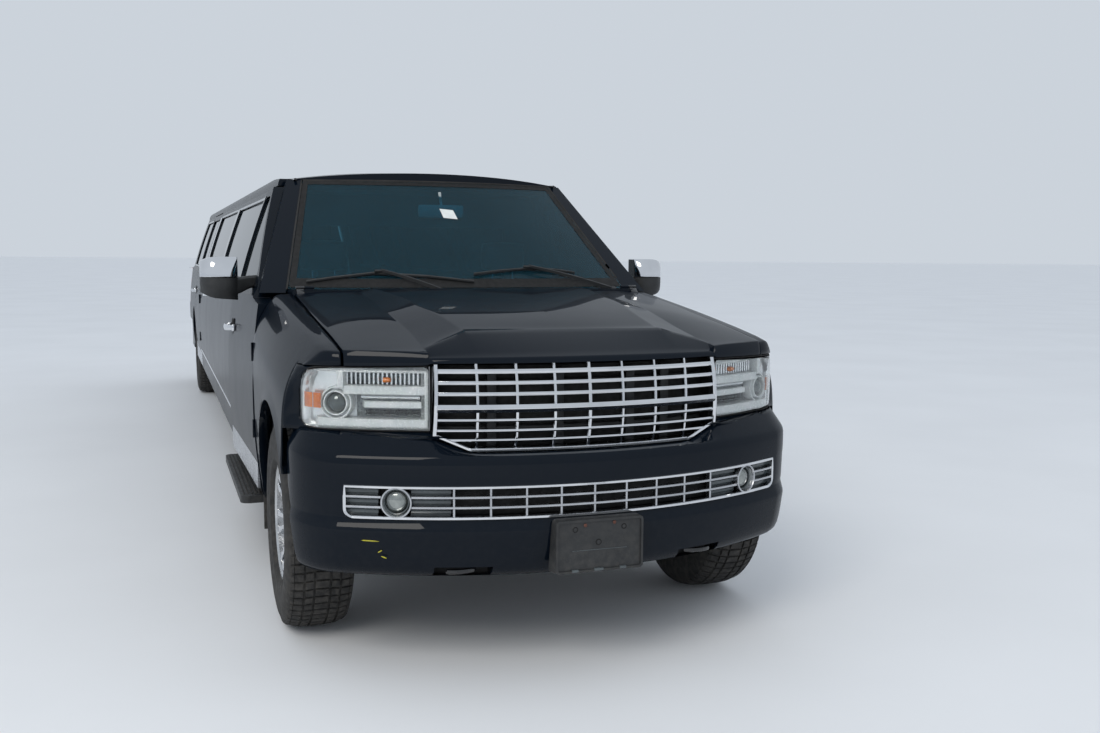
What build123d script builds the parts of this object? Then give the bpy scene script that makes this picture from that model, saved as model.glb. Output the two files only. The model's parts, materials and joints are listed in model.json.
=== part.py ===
from build123d import *
import os
from math import atan2, degrees, sqrt

# Stretched full-size sport utility vehicle, in millimetres.
# The front faces -Y, +Z is up, +X is the vehicle's left. The origin is on the ground at mid length.

# Overall sizes
overall_length = 9865.0
body_width = 2002.0
roof_height = 1930.0
front_overhang = 950.0
rear_overhang = 1320.0
front_track = 1702.0
rear_track = 1707.0
tyre_radius = 407.0
tyre_width = 255.0
rim_radius = 229.0

# Clearances
shut_gap = 8.0
rear_shut_gap = 10.0
seat_gap = 0.3
spindle_clearance = 0.05

# Heights of the side section, and how far each is drawn in from the widest line
sill_height = 360.0
door_height = 395.0
widest_height = 820.0
belt_height = 1255.0
glass_height = 1288.0
rail_height = 1792.0
roof_edge_height = 1868.0
sill_tuck = 46.0
door_tuck = 33.0
belt_tuck = 35.0
glass_tuck = 61.0
rail_tuck = 227.0
roof_edge_tuck = 301.0
side_crown = 8.0
wall_thickness = 96.0
frame_thickness = 52.0
roof_thickness = 60.0
glass_thickness = 6.0

# Lengths along the body
front_door_setback = 640.0
front_door_length = 1180.0
rear_door_setback = 275.0
rear_door_length = 1130.0
arch_radius = 480.0
hinge_pillar = 110.0
post_width = 200.0
window_corner = 45.0

# Nose plan, measured from the front of the bumper
plate_bracket_depth = 45.0
knee_half = 850.0
knee_back = 231.0
corner_half = 925.0
corner_back = 312.0
nose_end_half = 975.0
nose_end_back = 505.0
lamp_inset = 92.0
bumper_wall = 80.0
fender_thickness = 43.0
fender_taper = 25.0
pillar_top = 1020.0

# Windscreen, measured from the nose, and the fall of the roof towards it
screen_low = 1290.0
screen_high = 1822.0
screen_foot_half = 831.0
screen_top_half = 670.0
screen_foot_side = 1744.0
screen_foot_bow = 150.0
screen_top_side = 2437.0
screen_top_bow = 125.0
screen_slant = 10.0
roof_front_edge = 1822.0
roof_front_crown = 1866.0
roof_level_back = 3300.0

half_width = body_width / 2
nose_y = -overall_length / 2
tail_y = overall_length / 2
bumper_y = nose_y + plate_bracket_depth
front_axle_y = nose_y + front_overhang
rear_axle_y = tail_y - rear_overhang
front_door_y = front_axle_y + front_door_setback
front_door_end = front_door_y + front_door_length
rear_door_end = rear_axle_y - rear_door_setback
rear_door_y = rear_door_end - rear_door_length
belt_x = half_width - belt_tuck
glass_x = half_width - glass_tuck
rail_x = half_width - rail_tuck
roof_edge_x = half_width - roof_edge_tuck
wall_inner_x = half_width - wall_thickness
fender_inner_x = half_width - fender_thickness
roof_front_y = nose_y + screen_top_side - screen_top_bow
roof_level_y = nose_y + roof_level_back

os.makedirs("parts", exist_ok=True)
pieces = {}


def across(y):
    """Plane facing the front at y: local x is X, local y is Z."""
    return Plane(origin=(0, y, 0), x_dir=(1, 0, 0), z_dir=(0, -1, 0))


def keep(name, part):
    """Label a finished piece and write it."""
    part.label = name
    pieces[name] = part
    export_step(part, f"parts/{name}.step")


def along_y(points, start, end, mode=Mode.ADD):
    """Prism along Y of an outline of (x, z) points."""
    with BuildSketch(across(start)) as outline:
        with BuildLine():
            Polyline(*points, close=True)
        make_face()
    extrude(outline.sketch, amount=start - end, mode=mode)


def along_x(points, start, end, mode=Mode.ADD, corner=0.0):
    """Prism along X of an outline of (y, z) points."""
    with BuildSketch(Plane.YZ.offset(start)) as outline:
        with BuildLine():
            Polyline(*points, close=True)
        make_face()
        if corner:
            fillet(outline.vertices(), corner)
    extrude(outline.sketch, amount=end - start, mode=mode)


def along_z(points, start, end, mode=Mode.ADD):
    """Prism upwards of an outline of (x, y) points."""
    with BuildSketch(Plane.XY.offset(start)) as outline:
        with BuildLine():
            Polyline(*points, close=True)
        make_face()
    extrude(outline.sketch, amount=end - start, mode=mode)


def block(x, y, z, mode=Mode.ADD):
    """Box between two values on each axis."""
    with Locations(((x[0] + x[1]) / 2, (y[0] + y[1]) / 2, (z[0] + z[1]) / 2)):
        Box(abs(x[1] - x[0]), abs(y[1] - y[0]), abs(z[1] - z[0]), mode=mode)


def rod_x(radius, x, y, z, mode=Mode.ADD):
    """Cylinder along X."""
    with BuildSketch(Plane.YZ.offset(x[0])) as disc:
        with Locations((y, z)):
            Circle(radius)
    extrude(disc.sketch, amount=x[1] - x[0], mode=mode)


def rod_y(radius, x, y, z, mode=Mode.ADD):
    """Cylinder along Y."""
    with BuildSketch(across(y[0])) as disc:
        with Locations((x, z)):
            Circle(radius)
    extrude(disc.sketch, amount=y[0] - y[1], mode=mode)


def rod_z(radius, x, y, z, mode=Mode.ADD):
    """Cylinder upwards."""
    with BuildSketch(Plane.XY.offset(z[0])) as disc:
        with Locations((x, y)):
            Circle(radius)
    extrude(disc.sketch, amount=z[1] - z[0], mode=mode)


def wall_section(start, end):
    """Left body wall from sill to roof edge, between two values of y."""
    with BuildSketch(across(start)) as section:
        with BuildLine():
            Polyline(
                (wall_inner_x, sill_height),
                (half_width - sill_tuck, sill_height),
                (half_width - door_tuck, door_height),
            )
            ThreePointArc(
                (half_width - door_tuck, door_height),
                (half_width, widest_height),
                (belt_x, belt_height),
            )
            Line((belt_x, belt_height), (glass_x, glass_height))
            ThreePointArc(
                (glass_x, glass_height),
                ((glass_x + rail_x) / 2 + side_crown, (glass_height + rail_height) / 2),
                (rail_x, rail_height),
            )
            ThreePointArc(
                (rail_x, rail_height),
                (rail_x - 20, roof_edge_height - 22),
                (roof_edge_x, roof_edge_height),
            )
            Polyline(
                (roof_edge_x, roof_edge_height),
                (roof_edge_x, roof_edge_height - roof_thickness),
                (rail_x - frame_thickness, rail_height - 15),
                (glass_x - frame_thickness, glass_height),
                (wall_inner_x - 15, belt_height),
                (wall_inner_x, widest_height),
                (wall_inner_x, sill_height),
            )
        make_face()
    extrude(section.sketch, amount=start - end)


def glass_section(start, end):
    """Thin sheet that follows the left greenhouse plane."""
    inset = 10.0
    slope = glass_thickness + inset
    with BuildSketch(across(start)) as section:
        with BuildLine():
            ThreePointArc(
                (glass_x - inset, glass_height),
                ((glass_x + rail_x) / 2 + side_crown - inset, (glass_height + rail_height) / 2),
                (rail_x - inset, rail_height),
            )
            Line((rail_x - inset, rail_height), (rail_x - slope, rail_height))
            ThreePointArc(
                (rail_x - slope, rail_height),
                ((glass_x + rail_x) / 2 + side_crown - slope, (glass_height + rail_height) / 2),
                (glass_x - slope, glass_height),
            )
            Line((glass_x - slope, glass_height), (glass_x - inset, glass_height))
        make_face()
    extrude(section.sketch, amount=start - end)


# Side outlines, as (y, z)
pillar_foot = nose_y + screen_foot_side + 75.0
pillar_lean = (screen_top_side - screen_foot_side) / (screen_high - screen_low)
frame_top = rail_height + 6.0


def pillar_y(z):
    """Rear edge of the windscreen pillar at height z, seen from the side."""
    return pillar_foot + (z - belt_height) * pillar_lean


front_door_outline = [
    (front_door_y, door_height - shut_gap),
    (front_door_y, belt_height - 20),
    (pillar_y(belt_height), belt_height),
    (pillar_y(frame_top), frame_top),
    (front_door_end, frame_top),
    (front_door_end, door_height - shut_gap),
]
rear_door_outline = [
    (rear_door_y, door_height - shut_gap),
    (rear_door_y, frame_top),
    (rear_door_end, frame_top),
    (rear_door_end, door_height - shut_gap),
]
window_low = glass_height + 22.0
window_high = rail_height - 50.0
front_window = [
    (pillar_y(window_low) + 62, window_low),
    (pillar_y(window_high) + 62, window_high),
    (front_door_end - 90, window_high),
    (front_door_end - 80, window_low),
]
rear_window = [
    (rear_door_y + 75, window_low),
    (rear_door_y + 75, window_high),
    (rear_door_end - 95, window_high),
    (rear_door_end - 85, window_low),
]
stretch_start = front_door_end + post_width
stretch_end = rear_door_y - post_width
stretch_panes = 2
pane_length = (stretch_end - stretch_start - (stretch_panes - 1) * post_width) / stretch_panes
fixed_windows = []
for pane in range(stretch_panes):
    pane_y = stretch_start + pane * (pane_length + post_width)
    fixed_windows.append(
        [
            (pane_y, window_low),
            (pane_y, window_high),
            (pane_y + pane_length, window_high),
            (pane_y + pane_length, window_low),
        ]
    )
quarter_start = rear_door_end + 75.0
quarter_end = tail_y - 520.0
fixed_windows.append(
    [
        (quarter_start, window_low),
        (quarter_start, window_high),
        (quarter_end, window_high),
        (quarter_end + 110, window_low),
    ]
)


def shrunk(points, amount, start, end, corner):
    """Prism along X of an outline moved inwards by amount."""
    with BuildSketch(Plane.YZ.offset(start)) as outline:
        with BuildLine():
            Polyline(*points, close=True)
        make_face()
        if corner:
            fillet(outline.vertices(), corner)
        offset(amount=-amount)
    extrude(outline.sketch, amount=end - start, mode=Mode.INTERSECT)


wall_band = (roof_edge_x - 100.0, half_width + 50.0)

# Rear end, as (y, z): the outer line of the liftgate and of the rear corners
roof_end = tail_y - 400.0
gate_bottom = 705.0
gate_skin = [
    (tail_y - 290, roof_edge_height - 4),
    (tail_y - 180, glass_height),
    (tail_y - 150, belt_height - 60),
    (tail_y - 140, gate_bottom + 60),
    (tail_y - 158, gate_bottom),
]
gate_inner = [
    (tail_y - 225, gate_bottom),
    (tail_y - 225, belt_height - 60),
    (tail_y - 252, glass_height),
    (tail_y - 350, roof_edge_height - 60),
]
corner_half_x = 800.0
rear_bumper_start = rear_axle_y + 640.0
corner_depth = 120.0

# Body sides: the wall with its door openings, windows, rear arch and rear corner
with BuildPart() as body_side_left:
    wall_section(front_door_y, tail_y)
    along_y(
        [
            (wall_inner_x, gate_bottom - 12),
            (wall_inner_x, widest_height),
            (wall_inner_x - 15, belt_height),
            (rail_x - frame_thickness, rail_height - 15),
            (roof_edge_x, roof_edge_height - roof_thickness),
            (roof_edge_x - 60, roof_edge_height - roof_thickness),
            (corner_half_x - 15, belt_height),
            (corner_half_x, gate_bottom),
            (corner_half_x, gate_bottom - 12),
        ],
        roof_end - corner_depth + 100,
        tail_y,
    )
    block(
        (wall_inner_x - 25, fender_inner_x - fender_taper - 1),
        (front_door_y - hinge_pillar, front_door_y),
        (sill_height, pillar_top),
    )
    along_x(front_door_outline, *wall_band, mode=Mode.SUBTRACT)
    along_x(
        [
            (front_door_y - 1, belt_height - 30),
            (front_door_y - 1, roof_height),
            (pillar_y(frame_top) + 30, roof_height),
            (pillar_y(frame_top) + 30, frame_top - 1),
            (pillar_y(belt_height), belt_height - 30),
        ],
        *wall_band,
        mode=Mode.SUBTRACT,
    )
    along_x(
        [
            (roof_front_y, roof_front_edge),
            (roof_level_y, roof_edge_height),
            (roof_level_y, roof_height),
            (roof_front_y, roof_height),
        ],
        *wall_band,
        mode=Mode.SUBTRACT,
    )
    along_x(rear_door_outline, *wall_band, mode=Mode.SUBTRACT)
    for outline in fixed_windows:
        along_x(outline, *wall_band, mode=Mode.SUBTRACT, corner=window_corner)
    with BuildSketch(Plane.YZ.offset(wall_band[0])):
        with Locations((rear_axle_y, tyre_radius)):
            Circle(arch_radius)
    extrude(amount=wall_band[1] - wall_band[0], mode=Mode.SUBTRACT)
    block(
        wall_band,
        (rear_bumper_start, tail_y + 10),
        (0, gate_bottom + shut_gap),
        mode=Mode.SUBTRACT,
    )
    along_x(
        gate_skin
        + [
            (tail_y - 158, 0),
            (tail_y + 50, 0),
            (tail_y + 50, roof_height + 50),
            (tail_y - 350, roof_height + 50),
        ],
        *wall_band,
        mode=Mode.SUBTRACT,
    )

tail_lamp_z = (890.0, 1262.0)
tail_lamp_depth = 150.0
tail_lamp_x = 868.0
with BuildPart() as tail_lamp_left:
    add(body_side_left.part)
    block(
        (tail_lamp_x + seat_gap, half_width + 20),
        (tail_y - 165 - tail_lamp_depth + seat_gap, tail_y),
        (tail_lamp_z[0] + seat_gap, tail_lamp_z[1] - seat_gap),
        mode=Mode.INTERSECT,
    )
with BuildPart() as side_with_lamp_pocket:
    add(body_side_left.part)
    block(
        (tail_lamp_x, half_width + 20),
        (tail_y - 165 - tail_lamp_depth, tail_y),
        tail_lamp_z,
        mode=Mode.SUBTRACT,
    )

# Hinge sizes: a barrel on the body and a knuckle on the door, one above the other
barrel_radius = 3.5
barrel_height = 40.0
hinge_x = half_width
door_hinge_heights = (640.0, 980.0)


def hinge_on_body(door_y):
    """Barrels in the gap ahead of a door, with a leaf to the jamb behind the skin."""
    axis_y = door_y + shut_gap / 2
    for level in door_hinge_heights:
        rod_z(barrel_radius, hinge_x, axis_y, (level, level + barrel_height))
        block(
            (hinge_x - 80, hinge_x),
            (door_y, axis_y),
            (level, level + barrel_height),
        )


def hinge_on_door(door_y):
    """Knuckles above the barrels, joined to the front edge of the door."""
    axis_y = door_y + shut_gap / 2
    for level in door_hinge_heights:
        bottom = level + barrel_height + seat_gap
        rod_z(barrel_radius, hinge_x, axis_y, (bottom, bottom + barrel_height))
        block(
            (hinge_x - 20, hinge_x),
            (axis_y, door_y + shut_gap + 2),
            (bottom, bottom + barrel_height),
        )


with BuildPart() as side_panel_left:
    add(side_with_lamp_pocket.part)
    for start in (front_door_y, rear_door_y):
        hinge_on_body(start)


def door(outline, window, start, end):
    """Door as thick as the wall, with its window cut and its rear edge relieved to swing."""
    with BuildPart() as panel:
        wall_section(start, end)
        shrunk(outline, shut_gap, *wall_band, 0.0)
        block(
            (0, wall_inner_x + 45),
            (end - rear_shut_gap - 14, end),
            (0, belt_height),
            mode=Mode.SUBTRACT,
        )
        block(
            wall_band,
            (end - rear_shut_gap, end),
            (0, roof_height),
            mode=Mode.SUBTRACT,
        )
        block(
            wall_band,
            (end - rear_shut_gap - 12, end),
            (belt_height, roof_height),
            mode=Mode.SUBTRACT,
        )
        along_x(window, *wall_band, mode=Mode.SUBTRACT, corner=window_corner)
        hinge_on_door(start)
    return panel.part


def pane(window, start, end):
    """Pane that stands in a window."""
    with BuildPart() as sheet:
        glass_section(start, end)
        shrunk(window, seat_gap, *wall_band, window_corner)
    return sheet.part


front_door = door(front_door_outline, front_window, front_door_y, front_door_end)
rear_door_full = door(rear_door_outline, rear_window, rear_door_y, rear_door_end)
with BuildPart() as rear_door_cut:
    add(rear_door_full)
    with BuildSketch(Plane.YZ.offset(wall_band[0])):
        with Locations((rear_axle_y, tyre_radius)):
            Circle(arch_radius + 22)
    extrude(amount=wall_band[1] - wall_band[0], mode=Mode.SUBTRACT)

# Door mirrors: a head beside the pillar on an arm that stands on the door's window frame
mirror_width = 167.0
mirror_gap = 12.0
mirror_y = front_door_y + 446.0
mirror_low = 1229.0
mirror_high = 1431.0
arm_start = mirror_y + 12.0
arm_end = mirror_y + 85.0
mirror_reach = half_width + mirror_gap + mirror_width
with BuildPart() as mirror_left:
    block(
        (half_width + mirror_gap, mirror_reach),
        (mirror_y - 60, mirror_y + 60),
        (mirror_low, mirror_high),
    )
    fillet(mirror_left.edges().filter_by(Axis.Y), mirror_width * 0.24)
    fillet(mirror_left.faces().sort_by(Axis.Y)[0].edges(), mirror_width * 0.18)
    along_y(
        [
            (glass_x + 0.4, glass_height + seat_gap),
            (half_width + 60, glass_height + seat_gap),
            (half_width + 60, glass_height + 50),
            (glass_x - 4.4, glass_height + 20),
        ],
        arm_start,
        arm_end,
    )


# Nose plan curves
def nose_curves(inset):
    """Left half of the plan curve at an inset from the bumper face, rear end first."""
    end = (nose_end_half - 0.4 * inset, bumper_y + nose_end_back)
    corner = (corner_half - 0.35 * inset, bumper_y + corner_back + 0.75 * inset)
    knee = (knee_half - 0.45 * inset, bumper_y + knee_back + 0.9 * inset)
    front = (0, bumper_y + inset)
    return end, corner, knee, front


def nose_depth(x, inset):
    """Distance of the nose curve behind the bumper's front at half width x."""
    knee_x = knee_half - 0.45 * inset
    knee_y = knee_back - 0.1 * inset
    radius = (knee_x**2 + knee_y**2) / (2 * knee_y)
    return inset + radius - sqrt(radius**2 - x**2)


def nose_band(level, inset, depth):
    """Closed plan outline between two nose curves, on a horizontal plane."""
    outer = nose_curves(inset)
    inner = nose_curves(inset + depth)
    with BuildSketch(Plane.XY.offset(level)) as band:
        with BuildLine():
            for end, corner, knee, front in (outer, inner):
                left_end, right_end = end, (-end[0], end[1])
                ThreePointArc(left_end, corner, knee)
                ThreePointArc(knee, front, (-knee[0], knee[1]))
                ThreePointArc((-knee[0], knee[1]), (-corner[0], corner[1]), right_end)
            Line(outer[0], inner[0])
            Line((-outer[0][0], outer[0][1]), (-inner[0][0], inner[0][1]))
        make_face()
    return band.sketch


# Front bumper: rings at (height, inset)
bumper_rings = (
    (365.0, 62.0),
    (398.0, 24.0),
    (470.0, 3.0),
    (585.0, 0.0),
    (702.0, 4.0),
    (724.0, 16.0),
    (786.0, 60.0),
)
lower_grille_low = 574.0
lower_grille_high = 683.0
lower_grille_half = 822.0
lower_grille_depth = 58.0
grille_half = 527.0
headlamp_low = 856.0
lamp_ledge_inset = lamp_inset + 6.0
horn_half = 425.0
horn_start = 330.0
headlamp_high = 1076.0
headlamp_inner = 535.0
headlamp_outer = 932.0
lamp_fall = 10.0 / 380.0
bracket_half = 160.0
bracket_low = 385.0
bracket_high = 570.0
bracket_hole_spacing = 177.8
bracket_hole_radius = 3.5
bracket_hole_height = 535.0


def lamp_ledge(sign):
    """Plan outline of the bumper's raised part under one headlamp."""
    outer = nose_curves(lamp_ledge_inset)
    back = nose_curves(lamp_ledge_inset + bumper_wall)
    with BuildSketch(Plane.XY.offset(bumper_rings[-1][0])) as ledge:
        with BuildLine():
            for end, corner, knee, front in (outer, back):
                ThreePointArc(
                    (sign * end[0], end[1]),
                    (sign * corner[0], corner[1]),
                    (sign * knee[0], knee[1]),
                )
                ThreePointArc(
                    (sign * knee[0], knee[1]),
                    (sign * headlamp_inner, bumper_y + nose_depth(headlamp_inner, front[1] - bumper_y)),
                    front,
                )
            Line((sign * outer[0][0], outer[0][1]), (sign * back[0][0], back[0][1]))
            Line(outer[3], back[3])
        make_face()
        with Locations((sign * (headlamp_inner + 400), bumper_y + 300)):
            Rectangle(800, 800, mode=Mode.INTERSECT)
    return ledge.sketch


with BuildPart() as front_bumper:
    loft([nose_band(level, inset, bumper_wall) for level, inset in bumper_rings], ruled=True)
    with BuildSketch(Plane.XY.offset(lower_grille_low)):
        with BuildLine():
            for inset in (-20.0, lower_grille_depth):
                end, corner, knee, front = nose_curves(inset)
                ThreePointArc(knee, front, (-knee[0], knee[1]))
            for sign in (1, -1):
                a = nose_curves(-20.0)[2]
                b = nose_curves(lower_grille_depth)[2]
                Line((sign * a[0], a[1]), (sign * b[0], b[1]))
        make_face()
        with Locations((0, bumper_y + 300)):
            Rectangle(2 * lower_grille_half, 800, mode=Mode.INTERSECT)
    extrude(amount=lower_grille_high - lower_grille_low, mode=Mode.SUBTRACT)
    for sign in (-1, 1):
        ledge = lamp_ledge(sign)
        extrude(ledge, amount=headlamp_low - seat_gap - bumper_rings[-1][0])
        block(
            (sign * horn_half - 30, sign * horn_half + 30),
            (bumper_y + 118, nose_y + horn_start - seat_gap),
            (445, 505),
        )
    rod_x(arch_radius, (-half_width, half_width), front_axle_y, tyre_radius, mode=Mode.SUBTRACT)


# Upper and lower grilles: bars that follow the nose, as (low, high, inset)
grille_low = bumper_rings[-1][0] + seat_gap
grille_high = 1073.0
grille_inset = 55.0
grille_depth = 34.0
grille_chamfer = 120.0
grille_frame = 16.0
thin_bar = 9.0
thick_bar = 26.0
grille_middle = (grille_low + grille_high) / 2
grille_bow = 20.0


def clipped_band(level, inset, depth, half, height, mode=Mode.ADD, inner=0.0):
    """Band along the nose between two half widths, raised by a height."""
    outer = nose_curves(inset)
    back = nose_curves(inset + depth)
    with BuildSketch(Plane.XY.offset(level)) as band:
        with BuildLine():
            for end, corner, knee, front in (outer, back):
                ThreePointArc(end, corner, knee)
                ThreePointArc(knee, front, (-knee[0], knee[1]))
                ThreePointArc((-knee[0], knee[1]), (-corner[0], corner[1]), (-end[0], end[1]))
            Line(outer[0], back[0])
            Line((-outer[0][0], outer[0][1]), (-back[0][0], back[0][1]))
        make_face()
        with Locations((0, bumper_y + 300)):
            Rectangle(2 * half, 800, mode=Mode.INTERSECT)
            if inner:
                Rectangle(2 * inner, 800, mode=Mode.SUBTRACT)
    extrude(band.sketch, amount=height, mode=mode)


def bar_inset(level):
    """The grille leans: its middle stands ahead of its top and foot."""
    reach = (level - grille_middle) / (grille_high - grille_middle)
    return grille_inset + grille_bow * reach**2


grille_bars = [(grille_low, grille_frame), (grille_middle - thick_bar / 2, thick_bar)]
bar_pitch = (grille_high - grille_middle - thick_bar / 2) / 4
for count in range(1, 4):
    grille_bars.append((grille_middle + thick_bar / 2 + count * bar_pitch - thin_bar, thin_bar))
    grille_bars.append((grille_middle - thick_bar / 2 - count * bar_pitch, thin_bar))
grille_bars.append((grille_high - thin_bar, thin_bar))
upright_pitch = (grille_half - 30) / 4.3


with BuildPart() as grille:
    for low, height in grille_bars:
        level_inset = bar_inset(low + height / 2)
        clipped_band(low, level_inset, grille_depth, grille_half, height)
    for sign in (-1, 1):
        for count in range(4):
            x = sign * (30 + upright_pitch * (count + 0.15))
            y = bumper_y + nose_depth(abs(x), grille_inset + grille_bow)
            block((x - 6, x + 6), (y + 4, y + grille_depth - 4), (grille_low, grille_high + 2))
        x = sign * (grille_half - grille_frame / 2)
        y = bumper_y + nose_depth(abs(x), grille_inset)
        block(
            (x - grille_frame / 2, x + grille_frame / 2),
            (y, y + grille_depth + grille_bow),
            (grille_low, grille_high),
        )
    for sign in (-1, 1):
        with BuildSketch(Plane.XZ) as corner_cut:
            with BuildLine():
                Polyline(
                    (sign * (grille_half + 1), grille_low - 1),
                    (sign * (grille_half - grille_chamfer), grille_low - 1),
                    (sign * (grille_half + 1), grille_low + grille_chamfer * 0.45),
                    close=True,
                )
            make_face()
        extrude(corner_cut.sketch, amount=overall_length, mode=Mode.SUBTRACT)

fog_x = 662.0
fog_radius = 40.0
fog_length = 30.0
fog_turn = degrees(atan2(nose_depth(fog_x + 10, 0) - nose_depth(fog_x - 10, 0), 20))
lower_bars = 3
with BuildPart() as lower_grille:
    span = lower_grille_high - lower_grille_low - 2 * seat_gap
    low = lower_grille_low + seat_gap
    half = lower_grille_half - seat_gap
    for count in range(lower_bars + 1):
        height = 10.0 if count in (0, lower_bars) else 7.0
        level = low + count * (span - 10.0) / lower_bars
        clipped_band(level, 8, lower_grille_depth - 8 - seat_gap, half, height)
    for sign in (-1, 1):
        for x in (0.0, 110.0, 220.0, 330.0, 440.0, 550.0, half - 5):
            if x == 0.0 and sign < 0:
                continue
            y = bumper_y + nose_depth(x, 10)
            block(
                (sign * x - 5, sign * x + 5),
                (y + 3, y + 30),
                (low, low + span),
            )
        y = bumper_y + nose_depth(fog_x, 22)
        with Locations(Location((sign * fog_x, y, low + span / 2), (0, 0, sign * fog_turn))):
            Cylinder(fog_radius, fog_length, rotation=(90, 0, 0))

# Headlamps
with BuildPart() as headlamp_left:
    clipped_band(
        headlamp_low,
        lamp_inset,
        90,
        headlamp_outer,
        headlamp_high - headlamp_low,
        inner=headlamp_inner,
    )
    block((-half_width, 0), (nose_y, 0), (0, roof_height), mode=Mode.SUBTRACT)
    along_y(
        [
            (headlamp_inner - 1, headlamp_high),
            (half_width, headlamp_high - (half_width - headlamp_inner) * lamp_fall),
            (half_width, headlamp_high + 1),
            (headlamp_inner - 1, headlamp_high + 1),
        ],
        nose_y,
        front_axle_y,
        mode=Mode.SUBTRACT,
    )

# Licence plate bracket on the bumper
with BuildPart() as plate_bracket:
    block(
        (-bracket_half, bracket_half),
        (nose_y, bumper_y - seat_gap),
        (bracket_low, bracket_high),
    )
    fillet(plate_bracket.edges().filter_by(Axis.Y), 12)
    block(
        (-bracket_half + 10, bracket_half - 10),
        (nose_y - 1, nose_y + 7),
        (bracket_low + 10, bracket_high - 10),
        mode=Mode.SUBTRACT,
    )
    for sign in (-1, 1):
        rod_y(
            bracket_hole_radius,
            sign * bracket_hole_spacing / 2,
            (nose_y - 1, bumper_y + 1),
            bracket_hole_height,
            mode=Mode.SUBTRACT,
        )

# Hood: cross sections as (behind the nose, edge half width, edge height, crease half width,
# crease height, crown height)
hood_sections = (
    (100.0, 797.0, 1102.0, 560.0, 1107.0, 1112.0),
    (280.0, 800.0, 1108.0, 540.0, 1134.0, 1152.0),
    (375.0, 803.0, 1132.0, 532.0, 1152.0, 1188.0),
    (900.0, 815.0, 1200.0, 512.0, 1252.0, 1262.0),
    (1560.0, 820.0, 1277.0, 480.0, 1300.0, 1308.0),
)
hood_thickness = 24.0
hood_front_back = 120.0
hood_front_side = 372.0
hood_rear_side = 1540.0
hood_rear_bow = 130.0
hood_crown_half = 250.0
hood_plan_half = 840.0
hood_axis_y = nose_y + hood_rear_side + 12.0
hood_axis_z = 1300.0
hood_barrel = 7.0
hood_hinge_x = (735.0, 775.0, 815.0)
with BuildPart() as hood:
    rings = []
    for back, edge_x, edge_z, crease_x, crease_z, crown_z in hood_sections:
        upper = [
            (-edge_x, edge_z),
            (-crease_x - 30, (crease_z + edge_z) / 2 + 8),
            (-crease_x, crease_z),
            (-hood_crown_half, crown_z),
            (hood_crown_half, crown_z),
            (crease_x, crease_z),
            (crease_x + 30, (crease_z + edge_z) / 2 + 8),
            (edge_x, edge_z),
        ]
        lower = [(x, z - hood_thickness) for x, z in reversed(upper)]
        with BuildSketch(across(nose_y + back)) as ring:
            with BuildLine():
                Polyline(*upper, *lower, close=True)
            make_face()
        rings.append(ring.sketch)
    loft(rings, ruled=True)
    with BuildSketch(Plane.XY.offset(belt_height - 400)) as plan:
        with BuildLine():
            ThreePointArc(
                (-hood_plan_half, nose_y + hood_front_side),
                (0, nose_y + hood_front_back),
                (hood_plan_half, nose_y + hood_front_side),
            )
            Line(
                (hood_plan_half, nose_y + hood_front_side),
                (hood_plan_half, nose_y + hood_rear_side),
            )
            ThreePointArc(
                (hood_plan_half, nose_y + hood_rear_side),
                (0, nose_y + hood_rear_side - hood_rear_bow),
                (-hood_plan_half, nose_y + hood_rear_side),
            )
            Line(
                (-hood_plan_half, nose_y + hood_rear_side),
                (-hood_plan_half, nose_y + hood_front_side),
            )
        make_face()
    extrude(plan.sketch, amount=600, mode=Mode.INTERSECT)
    for sign in (-1, 1):
        start, end = sign * (hood_hinge_x[1] + seat_gap), sign * hood_hinge_x[2]
        rod_x(hood_barrel, (start, end), hood_axis_y, hood_axis_z)
        along_x(
            [
                (hood_axis_y - 60, hood_axis_z - 62),
                (hood_axis_y - 36, hood_axis_z - 62),
                (hood_axis_y - 33, hood_axis_z - hood_barrel),
                (hood_axis_y, hood_axis_z - hood_barrel),
                (hood_axis_y, hood_axis_z + hood_barrel),
                (hood_axis_y - 40, hood_axis_z),
            ],
            start,
            end,
        )

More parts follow.
